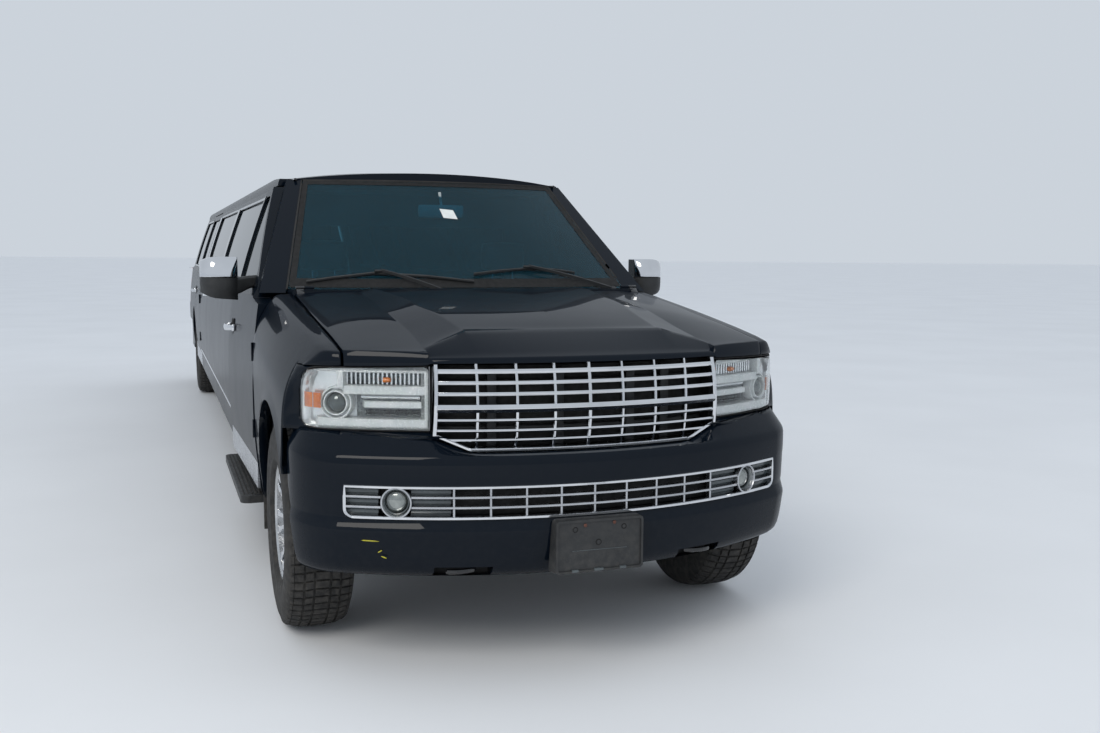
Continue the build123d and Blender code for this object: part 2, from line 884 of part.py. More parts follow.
# Fenders: shell sections as (behind the nose, hood side x, hood side z, shoulder x, shoulder z)
fender_sections = (
    (320.0, 810.0, 1110.0, 868.0, 1096.0, 942.0, 945.0),
    (500.0, 815.0, 1146.0, 880.0, 1130.0, 964.0, 985.0),
    (1000.0, 824.0, 1208.0, 900.0, 1192.0, 988.0, 1030.0),
    (front_door_y - nose_y - seat_gap, 829.0, 1274.0, 905.0, 1258.0, 990.0, 1085.0),
)
with BuildPart() as fender_left:
    rings = []
    for back, shut_x, shut_z, shoulder_x, shoulder_z, side_x, side_z in fender_sections:
        with BuildSketch(across(nose_y + back)) as ring:
            with BuildLine():
                Polyline(
                    (shut_x, shut_z),
                    (shoulder_x, shoulder_z),
                    (side_x, side_z),
                    (half_width - (half_width - side_x) * 0.3, widest_height),
                    (half_width - door_tuck, door_height),
                    (fender_inner_x, door_height),
                    (fender_inner_x, widest_height),
                    (fender_inner_x - fender_taper, side_z - 30),
                    (shoulder_x - 12, shoulder_z - 40),
                    (shut_x, shut_z - 35),
                    close=True,
                )
            make_face()
        rings.append(ring.sketch)
    loft(rings, ruled=True)
    rod_x(arch_radius, (700, half_width + 50), front_axle_y, tyre_radius, mode=Mode.SUBTRACT)
    lamp_top = headlamp_high + shut_gap / 2
    along_y(
        [
            (700, 0),
            (half_width + 50, 0),
            (half_width + 50, lamp_top - (half_width + 50 - headlamp_inner) * lamp_fall),
            (700, lamp_top - (700 - headlamp_inner) * lamp_fall),
        ],
        nose_y,
        bumper_y + nose_end_back + 2,
        mode=Mode.SUBTRACT,
    )
    end, corner, knee, front = nose_curves(lamp_inset)
    with BuildSketch(Plane.XY.offset(door_height)) as ahead:
        with BuildLine():
            ThreePointArc(end, corner, knee)
            Polyline(knee, (knee[0], nose_y), (half_width + 50, nose_y), (half_width + 50, end[1]), end)
        make_face()
    extrude(ahead.sketch, amount=roof_height, mode=Mode.SUBTRACT)

# Cowl with bulkhead, windscreen pillars and the windscreen
def screen_band(level, half, side, bow, back, depth):
    """Arc band in plan, as wide as the screen at that height."""
    y = nose_y + side + back
    with BuildSketch(Plane.XY.offset(level)) as band:
        with BuildLine():
            ThreePointArc((-half, y), (0, y - bow), (half, y))
            Line((half, y), (half, y + depth))
            ThreePointArc((half, y + depth), (0, y + depth - bow), (-half, y + depth))
            Line((-half, y + depth), (-half, y))
        make_face()
    return band.sketch


with BuildPart() as windshield:
    loft(
        [
            screen_band(screen_low, screen_foot_half, screen_foot_side, screen_foot_bow, 0, screen_slant),
            screen_band(screen_high, screen_top_half, screen_top_side, screen_top_bow, 0, screen_slant),
        ],
        ruled=True,
    )

pillar_depth = 78.0
cowl_half = 827.0
bulkhead_y = (nose_y + 1480.0, nose_y + 1515.0)
with BuildPart() as cowl:
    for sign in (-1, 1):
        rings = []
        for level, inner_x, outer_x, back in (
            (screen_low - 18, screen_foot_half + 5.5, glass_x + 12, screen_foot_side - 10),
            (screen_high, screen_top_half + 1, roof_edge_x + 40, screen_top_side),
        ):
            y = nose_y + back
            with BuildSketch(Plane.XY.offset(level)) as ring:
                with BuildLine():
                    Polyline(
                        (sign * inner_x, y),
                        (sign * outer_x, y + 20),
                        (sign * outer_x, y + pillar_depth),
                        (sign * (inner_x - 30), y + pillar_depth),
                        (sign * (inner_x - 30), y + 14),
                        (sign * inner_x, y + 14),
                        close=True,
                    )
                make_face()
            rings.append(ring.sketch)
        loft(rings, ruled=True)
    block(
        (-half_width, half_width),
        (pillar_y(frame_top) + 30 - seat_gap, 0),
        (frame_top - 200, roof_height + 100),
        mode=Mode.SUBTRACT,
    )
    for sign in (-1, 1):
        along_x(
            front_door_outline,
            sign * wall_band[0],
            sign * wall_band[1],
            mode=Mode.SUBTRACT,
        )
    block(
        (-roof_edge_x - seat_gap, roof_edge_x + seat_gap),
        (nose_y + screen_top_side, 0),
        (roof_front_edge - roof_thickness - seat_gap, roof_height),
        mode=Mode.SUBTRACT,
    )
    with BuildSketch(Plane.XY.offset(belt_height - 80)) as plan:
        front_side = nose_y + hood_rear_side + shut_gap
        rear_side = nose_y + screen_foot_side + 60
        with BuildLine():
            ThreePointArc(
                (-hood_plan_half, front_side),
                (0, front_side - hood_rear_bow),
                (hood_plan_half, front_side),
            )
            Line((hood_plan_half, front_side), (hood_plan_half, rear_side))
            ThreePointArc(
                (hood_plan_half, rear_side),
                (0, rear_side - screen_foot_bow),
                (-hood_plan_half, rear_side),
            )
            Line((-hood_plan_half, rear_side), (-hood_plan_half, front_side))
        make_face()
        with Locations((0, rear_side - 200)):
            Rectangle(2 * cowl_half, 600, mode=Mode.INTERSECT)
    extrude(plan.sketch, amount=screen_low - seat_gap - belt_height + 80)
    block((-cowl_half, cowl_half), bulkhead_y, (520, belt_height - 60))
    block((-560, 560), bulkhead_y, (520, belt_height - 45))
    for sign in (-1, 1):
        start, end = sign * hood_hinge_x[0], sign * hood_hinge_x[1]
        rod_x(hood_barrel, (start, end), hood_axis_y, hood_axis_z)
        block(
            (start, end),
            (hood_axis_y - 5, hood_axis_y + 5),
            (screen_low - 1, hood_axis_z),
        )

# Roof panel: cross section cut to the side profile, with the liftgate's barrels
roof_rear_drop = 22.0
top_radius = (screen_top_half**2 + screen_top_bow**2) / (2 * screen_top_bow)
gate_axis_y = roof_end + shut_gap / 2
gate_axis_z = 1914.0
gate_barrel = 7.0
gate_hinge_x = (300.0, 340.0, 380.0)
with BuildPart() as roof_panel:
    rings = []
    for y, edge, crown in (
        (roof_front_y, roof_front_edge, roof_front_crown),
        (roof_level_y, roof_edge_height, roof_height),
    ):
        with BuildSketch(across(y)) as section:
            with BuildLine():
                ThreePointArc((-roof_edge_x, edge), (0, crown), (roof_edge_x, edge))
                Line((roof_edge_x, edge), (roof_edge_x, edge - roof_thickness))
                ThreePointArc(
                    (roof_edge_x, edge - roof_thickness),
                    (0, crown - roof_thickness - 30),
                    (-roof_edge_x, edge - roof_thickness),
                )
                Line((-roof_edge_x, edge - roof_thickness), (-roof_edge_x, edge))
            make_face()
        rings.append(section.sketch)
    loft(rings, ruled=True)
    extrude(rings[-1], amount=roof_level_y - roof_end)
    roof_half = roof_edge_x + 1
    roof_bow = top_radius - sqrt(top_radius**2 - roof_half**2)
    roof_side = screen_top_side - screen_top_bow + roof_bow
    roof_front = screen_band(
        roof_edge_height - 200, roof_half, roof_side, roof_bow, screen_slant + 3, overall_length
    )
    extrude(roof_front, amount=400, mode=Mode.INTERSECT)
    with BuildSketch(Plane.YZ.offset(-roof_edge_x - 5)) as profile:
        with BuildLine():
            Line((roof_front_y - 50, roof_height + 1), (tail_y - 1300, roof_height + 1))
            ThreePointArc(
                (tail_y - 1300, roof_height + 1),
                (tail_y - 800, roof_height - 10),
                (tail_y - 300, roof_height - roof_rear_drop - 14),
            )
            Polyline(
                (tail_y - 300, roof_height - roof_rear_drop - 14),
                (tail_y - 300, roof_edge_height - 150),
                (roof_front_y - 50, roof_edge_height - 150),
                (roof_front_y - 50, roof_height + 1),
            )
        make_face()
    extrude(profile.sketch, amount=2 * roof_edge_x + 10, mode=Mode.INTERSECT)
    for sign in (-1, 1):
        start, end = sign * gate_hinge_x[0], sign * gate_hinge_x[1]
        rod_x(gate_barrel, (start, end), gate_axis_y, gate_axis_z)
        block(
            (start, end),
            (roof_end - 40, gate_axis_y),
            (gate_axis_z - 30, gate_axis_z),
        )

# Liftgate and its glass
gate_half_low = corner_half_x - shut_gap
gate_half_belt = corner_half_x - 15 - shut_gap
gate_half_top = roof_edge_x - 60 - 2 * shut_gap
gate_glass_low = glass_height + 30.0
gate_glass_high = rail_height - 30.0
with BuildPart() as liftgate:
    along_x(
        [(roof_end + shut_gap, roof_height - 30), (tail_y - 292, roof_height - 46)]
        + gate_skin
        + gate_inner
        + [(roof_end + shut_gap, roof_edge_height - 60)],
        -half_width,
        half_width,
    )
    with BuildSketch(across(roof_end)) as front_view:
        with BuildLine():
            Polyline(
                (-gate_half_low, gate_bottom),
                (gate_half_low, gate_bottom),
                (gate_half_belt, belt_height),
                (gate_half_top, roof_edge_height - roof_thickness - 12),
                (gate_half_top, roof_edge_height),
            )
            ThreePointArc(
                (gate_half_top, roof_edge_height),
                (0, roof_height - 34),
                (-gate_half_top, roof_edge_height),
            )
            Polyline(
                (-gate_half_top, roof_edge_height),
                (-gate_half_top, roof_edge_height - roof_thickness - 12),
                (-gate_half_belt, belt_height),
                (-gate_half_low, gate_bottom),
            )
        make_face()
    extrude(front_view.sketch, amount=-800, mode=Mode.INTERSECT)
    block(
        (-gate_half_top + 70, gate_half_top - 70),
        (roof_end + shut_gap + 5, tail_y),
        (gate_glass_low, gate_glass_high),
        mode=Mode.SUBTRACT,
    )
    for sign in (-1, 1):
        start, end = sign * (gate_hinge_x[1] + seat_gap), sign * gate_hinge_x[2]
        rod_x(gate_barrel, (start, end), gate_axis_y, gate_axis_z)
        along_x(
            [
                (gate_axis_y, gate_axis_z - gate_barrel),
                (roof_end + shut_gap + 6, gate_axis_z - 60),
                (roof_end + shut_gap + 60, gate_axis_z - 60),
                (gate_axis_y, gate_axis_z + gate_barrel),
            ],
            start,
            end,
        )
with BuildPart() as liftgate_glass:
    lean = (gate_skin[0][0] - gate_skin[1][0]) / (gate_skin[0][1] - gate_skin[1][1])
    low_y = gate_skin[1][0] + lean * (gate_glass_low - gate_skin[1][1]) - 14
    high_y = gate_skin[1][0] + lean * (gate_glass_high - gate_skin[1][1]) - 14
    along_x(
        [
            (low_y, gate_glass_low + seat_gap),
            (high_y, gate_glass_high - seat_gap),
            (high_y - glass_thickness, gate_glass_high - seat_gap),
            (low_y - glass_thickness, gate_glass_low + seat_gap),
        ],
        -gate_half_top + 70 + seat_gap,
        gate_half_top - 70 - seat_gap,
    )

# Rear bumper
rear_bumper_low = 410.0
with BuildPart() as rear_bumper:
    for inset, mode in ((0.0, Mode.ADD), (70.0, Mode.SUBTRACT)):
        half = half_width - 22 - inset
        with BuildSketch(Plane.XY.offset(rear_bumper_low)) as plan:
            with BuildLine():
                Polyline(
                    (-half, rear_bumper_start - inset * 2),
                    (half, rear_bumper_start - inset * 2),
                    (half, tail_y - 190 - inset * 0.5),
                )
                ThreePointArc(
                    (half, tail_y - 190 - inset * 0.5),
                    (half - 40 - inset * 0.3, tail_y - 90 - inset * 0.7),
                    (half - 140, tail_y - 38 - inset),
                )
                ThreePointArc(
                    (half - 140, tail_y - 38 - inset),
                    (0, tail_y - inset),
                    (-half + 140, tail_y - 38 - inset),
                )
                ThreePointArc(
                    (-half + 140, tail_y - 38 - inset),
                    (-half + 40 + inset * 0.3, tail_y - 90 - inset * 0.7),
                    (-half, tail_y - 190 - inset * 0.5),
                )
                Line((-half, tail_y - 190 - inset * 0.5), (-half, rear_bumper_start - inset * 2))
            make_face()
        extrude(plan.sketch, amount=gate_bottom - shut_gap - rear_bumper_low, mode=mode)
    chamfer(rear_bumper.faces().sort_by(Axis.Z)[-1].edges().filter_by(GeomType.CIRCLE), 12)

# Chassis frame
rail_half = 425.0
rail_width = 80.0
floor_low = 485.0
frame_low = 340.0
frame_high = 460.0
kick_up = 160.0
with BuildPart() as chassis_frame:
    rail_profile = [
        (nose_y + horn_start, frame_low + 90),
        (front_axle_y - 220, frame_low + 90),
        (front_axle_y + 520, frame_low),
        (rear_axle_y - 620, frame_low),
        (rear_axle_y - 330, frame_low + kick_up),
        (rear_axle_y + 330, frame_low + kick_up),
        (rear_axle_y + 560, frame_low + 100),
        (tail_y - 110, frame_low + 100),
        (tail_y - 110, frame_high + 80),
        (rear_axle_y + 540, frame_high + 80),
        (rear_axle_y + 330, frame_high + kick_up),
        (rear_axle_y - 330, frame_high + kick_up),
        (rear_axle_y - 620, frame_high),
        (front_axle_y + 520, frame_high),
        (front_axle_y - 220, frame_high + 60),
        (nose_y + horn_start, frame_high + 60),
    ]
    for sign in (-1, 1):
        centre = sign * rail_half
        along_x(rail_profile, centre - rail_width / 2, centre + rail_width / 2)
    member_start = front_axle_y + 1120
    member_end = rear_axle_y - 700
    members = 7
    body_mounts = 6
    for count in range(members):
        y = member_start + count * (member_end - member_start) / (members - 1)
        block((-rail_half, rail_half), (y - 40, y + 40), (frame_low + 65, frame_high - 5))
    for count in range(body_mounts):
        y = member_start + count * (member_end - member_start) / (body_mounts - 1)
        for sign in (-1, 1):
            rod_z(32, sign * rail_half, y, (frame_high - 5, floor_low - seat_gap))
    block((-rail_half, rail_half), (nose_y + 335, nose_y + 375), (frame_low + 100, frame_high + 50))
    block((-rail_half, rail_half), (tail_y - 190, tail_y - 120), (frame_low + 110, frame_high + 70))

# Floor pan with sills, raised over the rear axle
floor_thickness = 28.0
floor_raise = 175.0
floor_half = wall_inner_x - seat_gap
with BuildPart() as floor_pan:
    floor_line = [
        (nose_y + 1480, floor_low),
        (rear_axle_y - 700, floor_low),
        (rear_axle_y - 400, floor_low + floor_raise),
        (tail_y - 240, floor_low + floor_raise),
    ]
    along_x(
        floor_line + [(y, z + floor_thickness) for y, z in reversed(floor_line)],
        -floor_half,
        floor_half,
    )
    for sign in (-1, 1):
        block(
            (sign * (wall_inner_x - 25 - seat_gap), sign * half_width),
            (nose_y, front_door_y + seat_gap),
            (0, roof_height),
            mode=Mode.SUBTRACT,
        )
        block(
            (sign * (rear_track / 2 - tyre_width / 2 - 40), sign * floor_half),
            (rear_axle_y - arch_radius - 15, rear_axle_y + arch_radius + 15),
            (0, roof_height),
            mode=Mode.SUBTRACT,
        )
        inner = rear_track / 2 - tyre_width / 2 - 52
        for radius, reach, mode in (
            (arch_radius + 30, floor_half - 3 - inner, Mode.ADD),
            (arch_radius + 18, floor_half - inner, Mode.SUBTRACT),
            (arch_radius + 30, 12.0, Mode.ADD),
        ):
            with BuildSketch(Plane.YZ.offset(sign * inner)) as house:
                with Locations((rear_axle_y, tyre_radius)):
                    Circle(radius)
                with Locations((rear_axle_y, tyre_radius - 290)):
                    Rectangle(1200, 800, mode=Mode.SUBTRACT)
            extrude(house.sketch, amount=sign * reach, mode=mode)

# Front arch liners
liner_inner_x = 705.0
liner_outer_x = 943.0
with BuildPart() as arch_liners:
    for sign in (-1, 1):
        with BuildSketch(Plane.YZ.offset(sign * liner_inner_x)) as ring:
            with Locations((front_axle_y, tyre_radius)):
                Circle(arch_radius + 34)
                Circle(arch_radius + 24, mode=Mode.SUBTRACT)
            with Locations((front_axle_y, tyre_radius - 300)):
                Rectangle(1200, 800, mode=Mode.SUBTRACT)
        extrude(ring.sketch, amount=sign * (liner_outer_x - liner_inner_x))
    block(
        (-half_width, half_width),
        (nose_y, bumper_y + nose_end_back + 2),
        (0, bumper_rings[-1][0] + 4),
        mode=Mode.SUBTRACT,
    )

# Tyres and rims, modelled at the origin with the axle along X
rim_half = 105.0
hub_bore = 32.0
with BuildPart() as tyre:
    with BuildSketch(Plane.XY) as profile:
        with BuildLine():
            shoulder = tyre_width / 2
            Polyline(
                (-rim_half, rim_radius),
                (-shoulder + 6, rim_radius + 30),
                (-shoulder, rim_radius + 75),
                (-shoulder + 9, tyre_radius - 38),
                (-shoulder + 26, tyre_radius - 14),
                (-shoulder + 60, tyre_radius - 3),
                (0, tyre_radius),
                (shoulder - 60, tyre_radius - 3),
                (shoulder - 26, tyre_radius - 14),
                (shoulder - 9, tyre_radius - 38),
                (shoulder, rim_radius + 75),
                (shoulder - 6, rim_radius + 30),
                (rim_half, rim_radius),
                close=True,
            )
        make_face()
    revolve(profile.sketch, axis=Axis.X)

spokes = 7
with BuildPart() as rim:
    with BuildSketch(Plane.XY) as profile:
        with BuildLine():
            Polyline(
                (-rim_half, rim_radius - seat_gap),
                (rim_half, rim_radius - seat_gap),
                (rim_half, rim_radius - 14),
                (rim_half - 18, rim_radius - 20),
                (rim_half - 22, 95),
                (rim_half - 30, 80),
                (rim_half - 24, hub_bore + 40),
                (rim_half - 24, hub_bore + spindle_clearance),
                (35, hub_bore + spindle_clearance),
                (35, 95),
                (52, 105),
                (62, rim_radius - 26),
                (-rim_half, rim_radius - 16),
                close=True,
            )
        make_face()
    revolve(profile.sketch, axis=Axis.X)
    with BuildSketch(Plane.YZ.offset(20)) as window:
        with PolarLocations(0, spokes):
            with BuildLine():
                Polyline(
                    (112, -18),
                    (rim_radius - 32, -52),
                    (rim_radius - 24, 0),
                    (rim_radius - 32, 52),
                    (112, 18),
                    close=True,
                )
            make_face()
    extrude(window.sketch, amount=rim_half, mode=Mode.SUBTRACT)

# Knuckles: upright on the lower arm's pin, with brake disc and wheel spindle, left side
kingpin_x = 742.0
pin_radius = 12.0
front_hub_x = front_track / 2
arm_low = 262.0
arm_high = 290.0
knuckle_high = 520.0
pin_reach = 40.0
with BuildPart() as knuckle_left:
    block((kingpin_x - 32, kingpin_x + 32), (front_axle_y - 42, front_axle_y + 42), (arm_high + seat_gap, knuckle_high))
    rod_x(66, (kingpin_x + 20, front_hub_x - 24), front_axle_y, tyre_radius)
    rod_x(168, (front_hub_x - 62, front_hub_x - 38), front_axle_y, tyre_radius)
    rod_x(hub_bore, (front_hub_x - 40, front_hub_x + rim_half - 20), front_axle_y, tyre_radius)
    rod_x(60, (front_hub_x - 40, front_hub_x + 35 - seat_gap), front_axle_y, tyre_radius)
    rod_z(
        pin_radius + spindle_clearance,
        kingpin_x,
        front_axle_y,
        (arm_high, arm_high + pin_reach + seat_gap),
        mode=Mode.SUBTRACT,
    )


def rail_low(y):
    """Underside of a frame rail where it falls behind the front axle."""
    return frame_low + 90 - 90 * (y - front_axle_y + 220) / 740


# Front crossmember with the lower arms, their pins, and the spring struts
strut_x = 560.0
with BuildPart() as front_suspension:
    block((-rail_half + 45, rail_half - 45), (front_axle_y - 70, front_axle_y + 70), (255, 330))
    for sign in (-1, 1):
        along_z(
            [
                (sign * 300, front_axle_y - 120),
                (sign * 470, front_axle_y - 120),
                (sign * (kingpin_x + 25), front_axle_y - 28),
                (sign * (kingpin_x + 25), front_axle_y + 28),
                (sign * 470, front_axle_y + 120),
                (sign * 300, front_axle_y + 120),
            ],
            arm_low,
            arm_high,
        )
        along_x(
            [
                (front_axle_y - 60, 270),
                (front_axle_y - 60, rail_low(front_axle_y - 60) - seat_gap),
                (front_axle_y + 60, rail_low(front_axle_y + 60) - seat_gap),
                (front_axle_y + 60, 270),
            ],
            sign * (rail_half - 60),
            sign * (rail_half + 35),
        )
        rod_z(pin_radius, sign * kingpin_x, front_axle_y, (arm_high - 5, arm_high + pin_reach))
        rod_z(30, sign * strut_x, front_axle_y, (arm_high - 5, 640))
        rod_z(52, sign * strut_x, front_axle_y, (400, 600))

# Rear axle with differential, spindles and trailing arms
rear_hub_x = rear_track / 2
differential_radius = 125.0
with BuildPart() as rear_axle:
    rod_x(46, (-rear_hub_x + 60, rear_hub_x - 60), rear_axle_y, tyre_radius)
    rod_x(hub_bore, (-rear_hub_x - rim_half + 20, rear_hub_x + rim_half - 20), rear_axle_y, tyre_radius)
    for sign in (-1, 1):
        rod_x(160, (sign * (rear_hub_x - 62), sign * (rear_hub_x - 38)), rear_axle_y, tyre_radius)
        rod_x(60, (sign * (rear_hub_x - 40), sign * (rear_hub_x + 35 - seat_gap)), rear_axle_y, tyre_radius)
        block(
            (sign * 520, sign * 570),
            (rear_axle_y - 620, rear_axle_y),
            (tyre_radius - 110, tyre_radius - 60),
        )
        block((sign * 520, sign * 570), (rear_axle_y - 30, rear_axle_y + 30), (tyre_radius - 110, tyre_radius))
        rod_z(50, sign * 570, rear_axle_y, (tyre_radius, floor_low + floor_raise - seat_gap))
    with Locations((0, rear_axle_y, tyre_radius)):
        Sphere(differential_radius)

# Engine, gearbox and propeller shaft
shaft_z = 365.0
engine_length = 660.0
engine_end = nose_y + 520.0 + engine_length
with BuildPart() as engine_block:
    block((-290, 290), (engine_end - engine_length, engine_end), (350, 900))
    for sign in (-1, 1):
        block(
            (sign * 280, sign * (rail_half - rail_width / 2 - seat_gap)),
            (nose_y + 800, nose_y + 880),
            (430, 470),
        )
    rod_y(105, 0, (nose_y + 1170, nose_y + 1950), shaft_z)
    rod_y(34, 0, (nose_y + 1940, rear_axle_y - differential_radius - seat_gap), shaft_z)

# Radiator on the front crossmember
with BuildPart() as radiator:
    block(
        (-350, 350),
        (nose_y + 338, nose_y + 372),
        (frame_high + 50 + seat_gap, 960),
    )

# Fuel tank under the floor and exhaust beside the propeller shaft
exhaust_x = -300.0
exhaust_z = 325.0
exhaust_radius = 28.0
tank_end = rear_axle_y - 1110.0
muffler_end = tank_end - 1700.0
with BuildPart() as fuel_tank:
    block((490, 760), (tank_end - 1300, tank_end), (300, floor_low - seat_gap))
    fillet(fuel_tank.edges().filter_by(Axis.Y), 25)
with BuildPart() as exhaust:
    with BuildLine() as route:
        FilletPolyline(
            (exhaust_x, nose_y + 1700, exhaust_z),
            (exhaust_x, rear_axle_y - 560, exhaust_z),
            (exhaust_x, rear_axle_y - 260, exhaust_z + 225),
            (exhaust_x, rear_axle_y + 260, exhaust_z + 225),
            (exhaust_x, rear_axle_y + 620, exhaust_z + 40),
            (exhaust_x, tail_y - 60, exhaust_z + 40),
            radius=110,
        )
    with BuildSketch(across(nose_y + 1700)) as pipe:
        with Locations((exhaust_x, exhaust_z)):
            Circle(exhaust_radius)
    sweep(pipe.sketch, path=route.line)
    rod_y(70, exhaust_x, (muffler_end - 600, muffler_end), exhaust_z)
    block(
        (exhaust_x - 15, exhaust_x + 15),
        (member_start - 10, member_start + 10),
        (exhaust_z, frame_low + 65 - seat_gap),
    )

# Running boards: the right one is out, the left one is drawn in under the sill
board_start = nose_y + 1745.0
board_end = nose_y + 2860.0
board_top = 345.0
board_thickness = 34.0
with BuildPart() as running_boards:
    for inner, outer, pad in ((-890.0, -1050.0, -930.0), (790.0, 950.0, 930.0)):
        with BuildSketch(Plane.XY.offset(board_top - board_thickness)) as board:
            with Locations(((inner + outer) / 2, (board_start + board_end) / 2)):
                RectangleRounded(abs(outer - inner), board_end - board_start, 40)
        extrude(board.sketch, amount=board_thickness)
        for y in (board_start + 200, board_end - 200):
            block((pad - 15, pad + 15), (y - 40, y + 40), (board_top - 5, sill_height - seat_gap))

# Dashboard with console, steering column and wheel
floor_top = floor_low + floor_thickness + seat_gap
wheel_x = 430.0
wheel_y = nose_y + 2175.0
wheel_z = 1080.0
wheel_radius = 185.0
wheel_tilt = 118.0
with BuildPart() as dashboard:
    along_x(
        [
            (nose_y + 1530, 880),
            (nose_y + 1530, 1165),
            (nose_y + 1820, 1165),
            (nose_y + 1840, 1240),
            (nose_y + 2000, 1228),
            (nose_y + 2085, 1150),
            (nose_y + 2085, 1000),
            (nose_y + 1970, 880),
        ],
        -850,
        850,
    )
    block((-130, 130), (nose_y + 1940, nose_y + 2640), (floor_top, 760))
    block((-130, 130), (nose_y + 1940, nose_y + 2020), (floor_top, 900))
    with Locations(Location((wheel_x, wheel_y, wheel_z), (wheel_tilt, 0, 0))):
        Torus(wheel_radius, 15)
        Cylinder(55, 30)
        Box(2 * wheel_radius, 36, 16)
        with Locations((0, 0, 140)):
            Cylinder(26, 280)

# Seats: (x from, x to) of the two front ones, ahead of the partition
partition_y = front_door_end + 120.0
seat_y = partition_y - 720.0
saloon_start = partition_y + 600.0
saloon_end = rear_door_y - 210.0
with BuildPart() as front_seats:
    for x in ((250.0, 780.0), (-780.0, -250.0)):
        block((x[0] + 60, x[1] - 60), (seat_y + 40, seat_y + 440), (floor_top, 640))
        block(x, (seat_y, seat_y + 530), (630, 770))
        along_x(
            [
                (seat_y + 450, 700),
                (seat_y + 540, 1300),
                (seat_y + 645, 1300),
                (seat_y + 570, 640),
                (seat_y + 490, 640),
            ],
            *x,
        )
        middle = (x[0] + x[1]) / 2
        block((middle - 20, middle + 20), (seat_y + 580, seat_y + 610), (1290, 1380))
        block((middle - 130, middle + 130), (seat_y + 550, seat_y + 650), (1350, 1520))
bench_floor = floor_top + floor_raise
bench_back_top = 1180.0
with BuildPart() as saloon_seats:
    block((-870, -420), (saloon_start, saloon_end), (floor_top, 640))
    block((-870, -330), (saloon_start, saloon_end), (640, 790))
    along_y(
        [(-875, 790), (-870, bench_back_top), (-800, bench_back_top), (-720, 790)],
        saloon_start,
        saloon_end,
    )
    block((-640, 640), (rear_axle_y - 380, rear_axle_y + 20), (bench_floor, 790))
    block((-640, 640), (rear_axle_y - 520, rear_axle_y + 60), (790, 900))
    along_x(
        [
            (rear_axle_y - 10, 880),
            (rear_axle_y + 110, 1420),
            (rear_axle_y + 240, 1420),
            (rear_axle_y + 120, 880),
        ],
        -640,
        640,
    )

# Bar cabinet and the partition behind the driver
bar_end = saloon_end - 100.0
bar_shelves = 4
with BuildPart() as bar_cabinet:
    block((560, 885), (saloon_start, bar_end), (floor_top, 1060))
    block((575, 870), (saloon_start + 20, bar_end - 20), (900, 1050), mode=Mode.SUBTRACT)
    for count in range(1, bar_shelves):
        y = saloon_start + count * (bar_end - saloon_start) / bar_shelves
        block((575, 870), (y - 12, y + 12), (895, 1055))
    block((560, 885), (saloon_start, bar_end), (1050, 1080))
with BuildPart() as partition:
    inner = wall_inner_x - seat_gap
    along_y(
        [
            (-inner, floor_top),
            (inner, floor_top),
            (inner, widest_height),
            (inner - 15, belt_height),
            (glass_x - frame_thickness - 1, glass_height),
            (rail_x - frame_thickness - 1, rail_height - 16),
            (-rail_x + frame_thickness + 1, rail_height - 16),
            (-glass_x + frame_thickness + 1, glass_height),
            (-inner + 15, belt_height),
            (-inner, widest_height),
        ],
        partition_y,
        partition_y + 40,
    )
    block((-560, 560), (partition_y - 1, partition_y + 41), (1120, 1600), mode=Mode.SUBTRACT)

# Panes
front_glass = pane(front_window, front_door_y, front_door_end)
rear_glass = pane(rear_window, rear_door_y, rear_door_end)
fixed_panes = [pane(window, front_door_end, tail_y) for window in fixed_windows]


def pair(part):
    """A left piece and its right twin in one part."""
    with BuildPart() as both:
        add(part)
        mirror(part, about=Plane.YZ)
    return both.part


with BuildPart() as side_glass:
    for sheet in fixed_panes:
        add(sheet)
        mirror(sheet, about=Plane.YZ)

# The front right door is ajar: it, its glass and its mirror are turned about the hinge
ajar_angle = 1.4
ajar_axis = Axis((-hinge_x, front_door_y + shut_gap / 2, 0), (0, 0, 1))
for name, part, turned in (
    ("body_side", side_panel_left.part, False),
    ("fender", fender_left.part, False),
    ("knuckle", knuckle_left.part, False),
    ("door_front", front_door, True),
    ("glass_front", front_glass, True),
    ("mirror", mirror_left.part, True),
    ("door_rear", rear_door_cut.part, False),
    ("glass_rear", rear_glass, False),
):
    keep(f"{name}_left", part)
    twin = mirror(part, about=Plane.YZ)
    if turned:
        twin = twin.rotate(ajar_axis, ajar_angle)
    keep(f"{name}_right", twin)

for place, track, axle_y in (
    ("front", front_track, front_axle_y),
    ("rear", rear_track, rear_axle_y),
):
    for side, sign, turn in (("left", 1, 0), ("right", -1, 180)):
        spot = Location((sign * track / 2, axle_y, tyre_radius), (0, 0, turn))
        keep(f"tyre_{place}_{side}", tyre.part.moved(spot))
        keep(f"rim_{place}_{side}", rim.part.moved(spot))

for name, part in (
    ("front_bumper", front_bumper.part),
    ("tail_lamps", pair(tail_lamp_left.part)),
    ("grille", grille.part),
    ("lower_grille", lower_grille.part),
    ("headlamps", pair(headlamp_left.part)),
    ("plate_bracket", plate_bracket.part),
    ("hood", hood.part),
    ("windshield", windshield.part),
    ("side_glass", side_glass.part),
    ("cowl", cowl.part),
    ("roof_panel", roof_panel.part),
    ("liftgate", liftgate.part),
    ("liftgate_glass", liftgate_glass.part),
    ("rear_bumper", rear_bumper.part),
    ("chassis_frame", chassis_frame.part),
    ("floor_pan", floor_pan.part),
    ("arch_liners", arch_liners.part),
    ("front_suspension", front_suspension.part),
    ("rear_axle", rear_axle.part),
    ("engine_block", engine_block.part),
    ("radiator", radiator.part),
    ("fuel_tank", fuel_tank.part),
    ("exhaust", exhaust.part),
    ("running_boards", running_boards.part),
    ("dashboard", dashboard.part),
    ("front_seats", front_seats.part),
    ("saloon_seats", saloon_seats.part),
    ("bar_cabinet", bar_cabinet.part),
    ("partition", partition.part),
):
    keep(name, part)
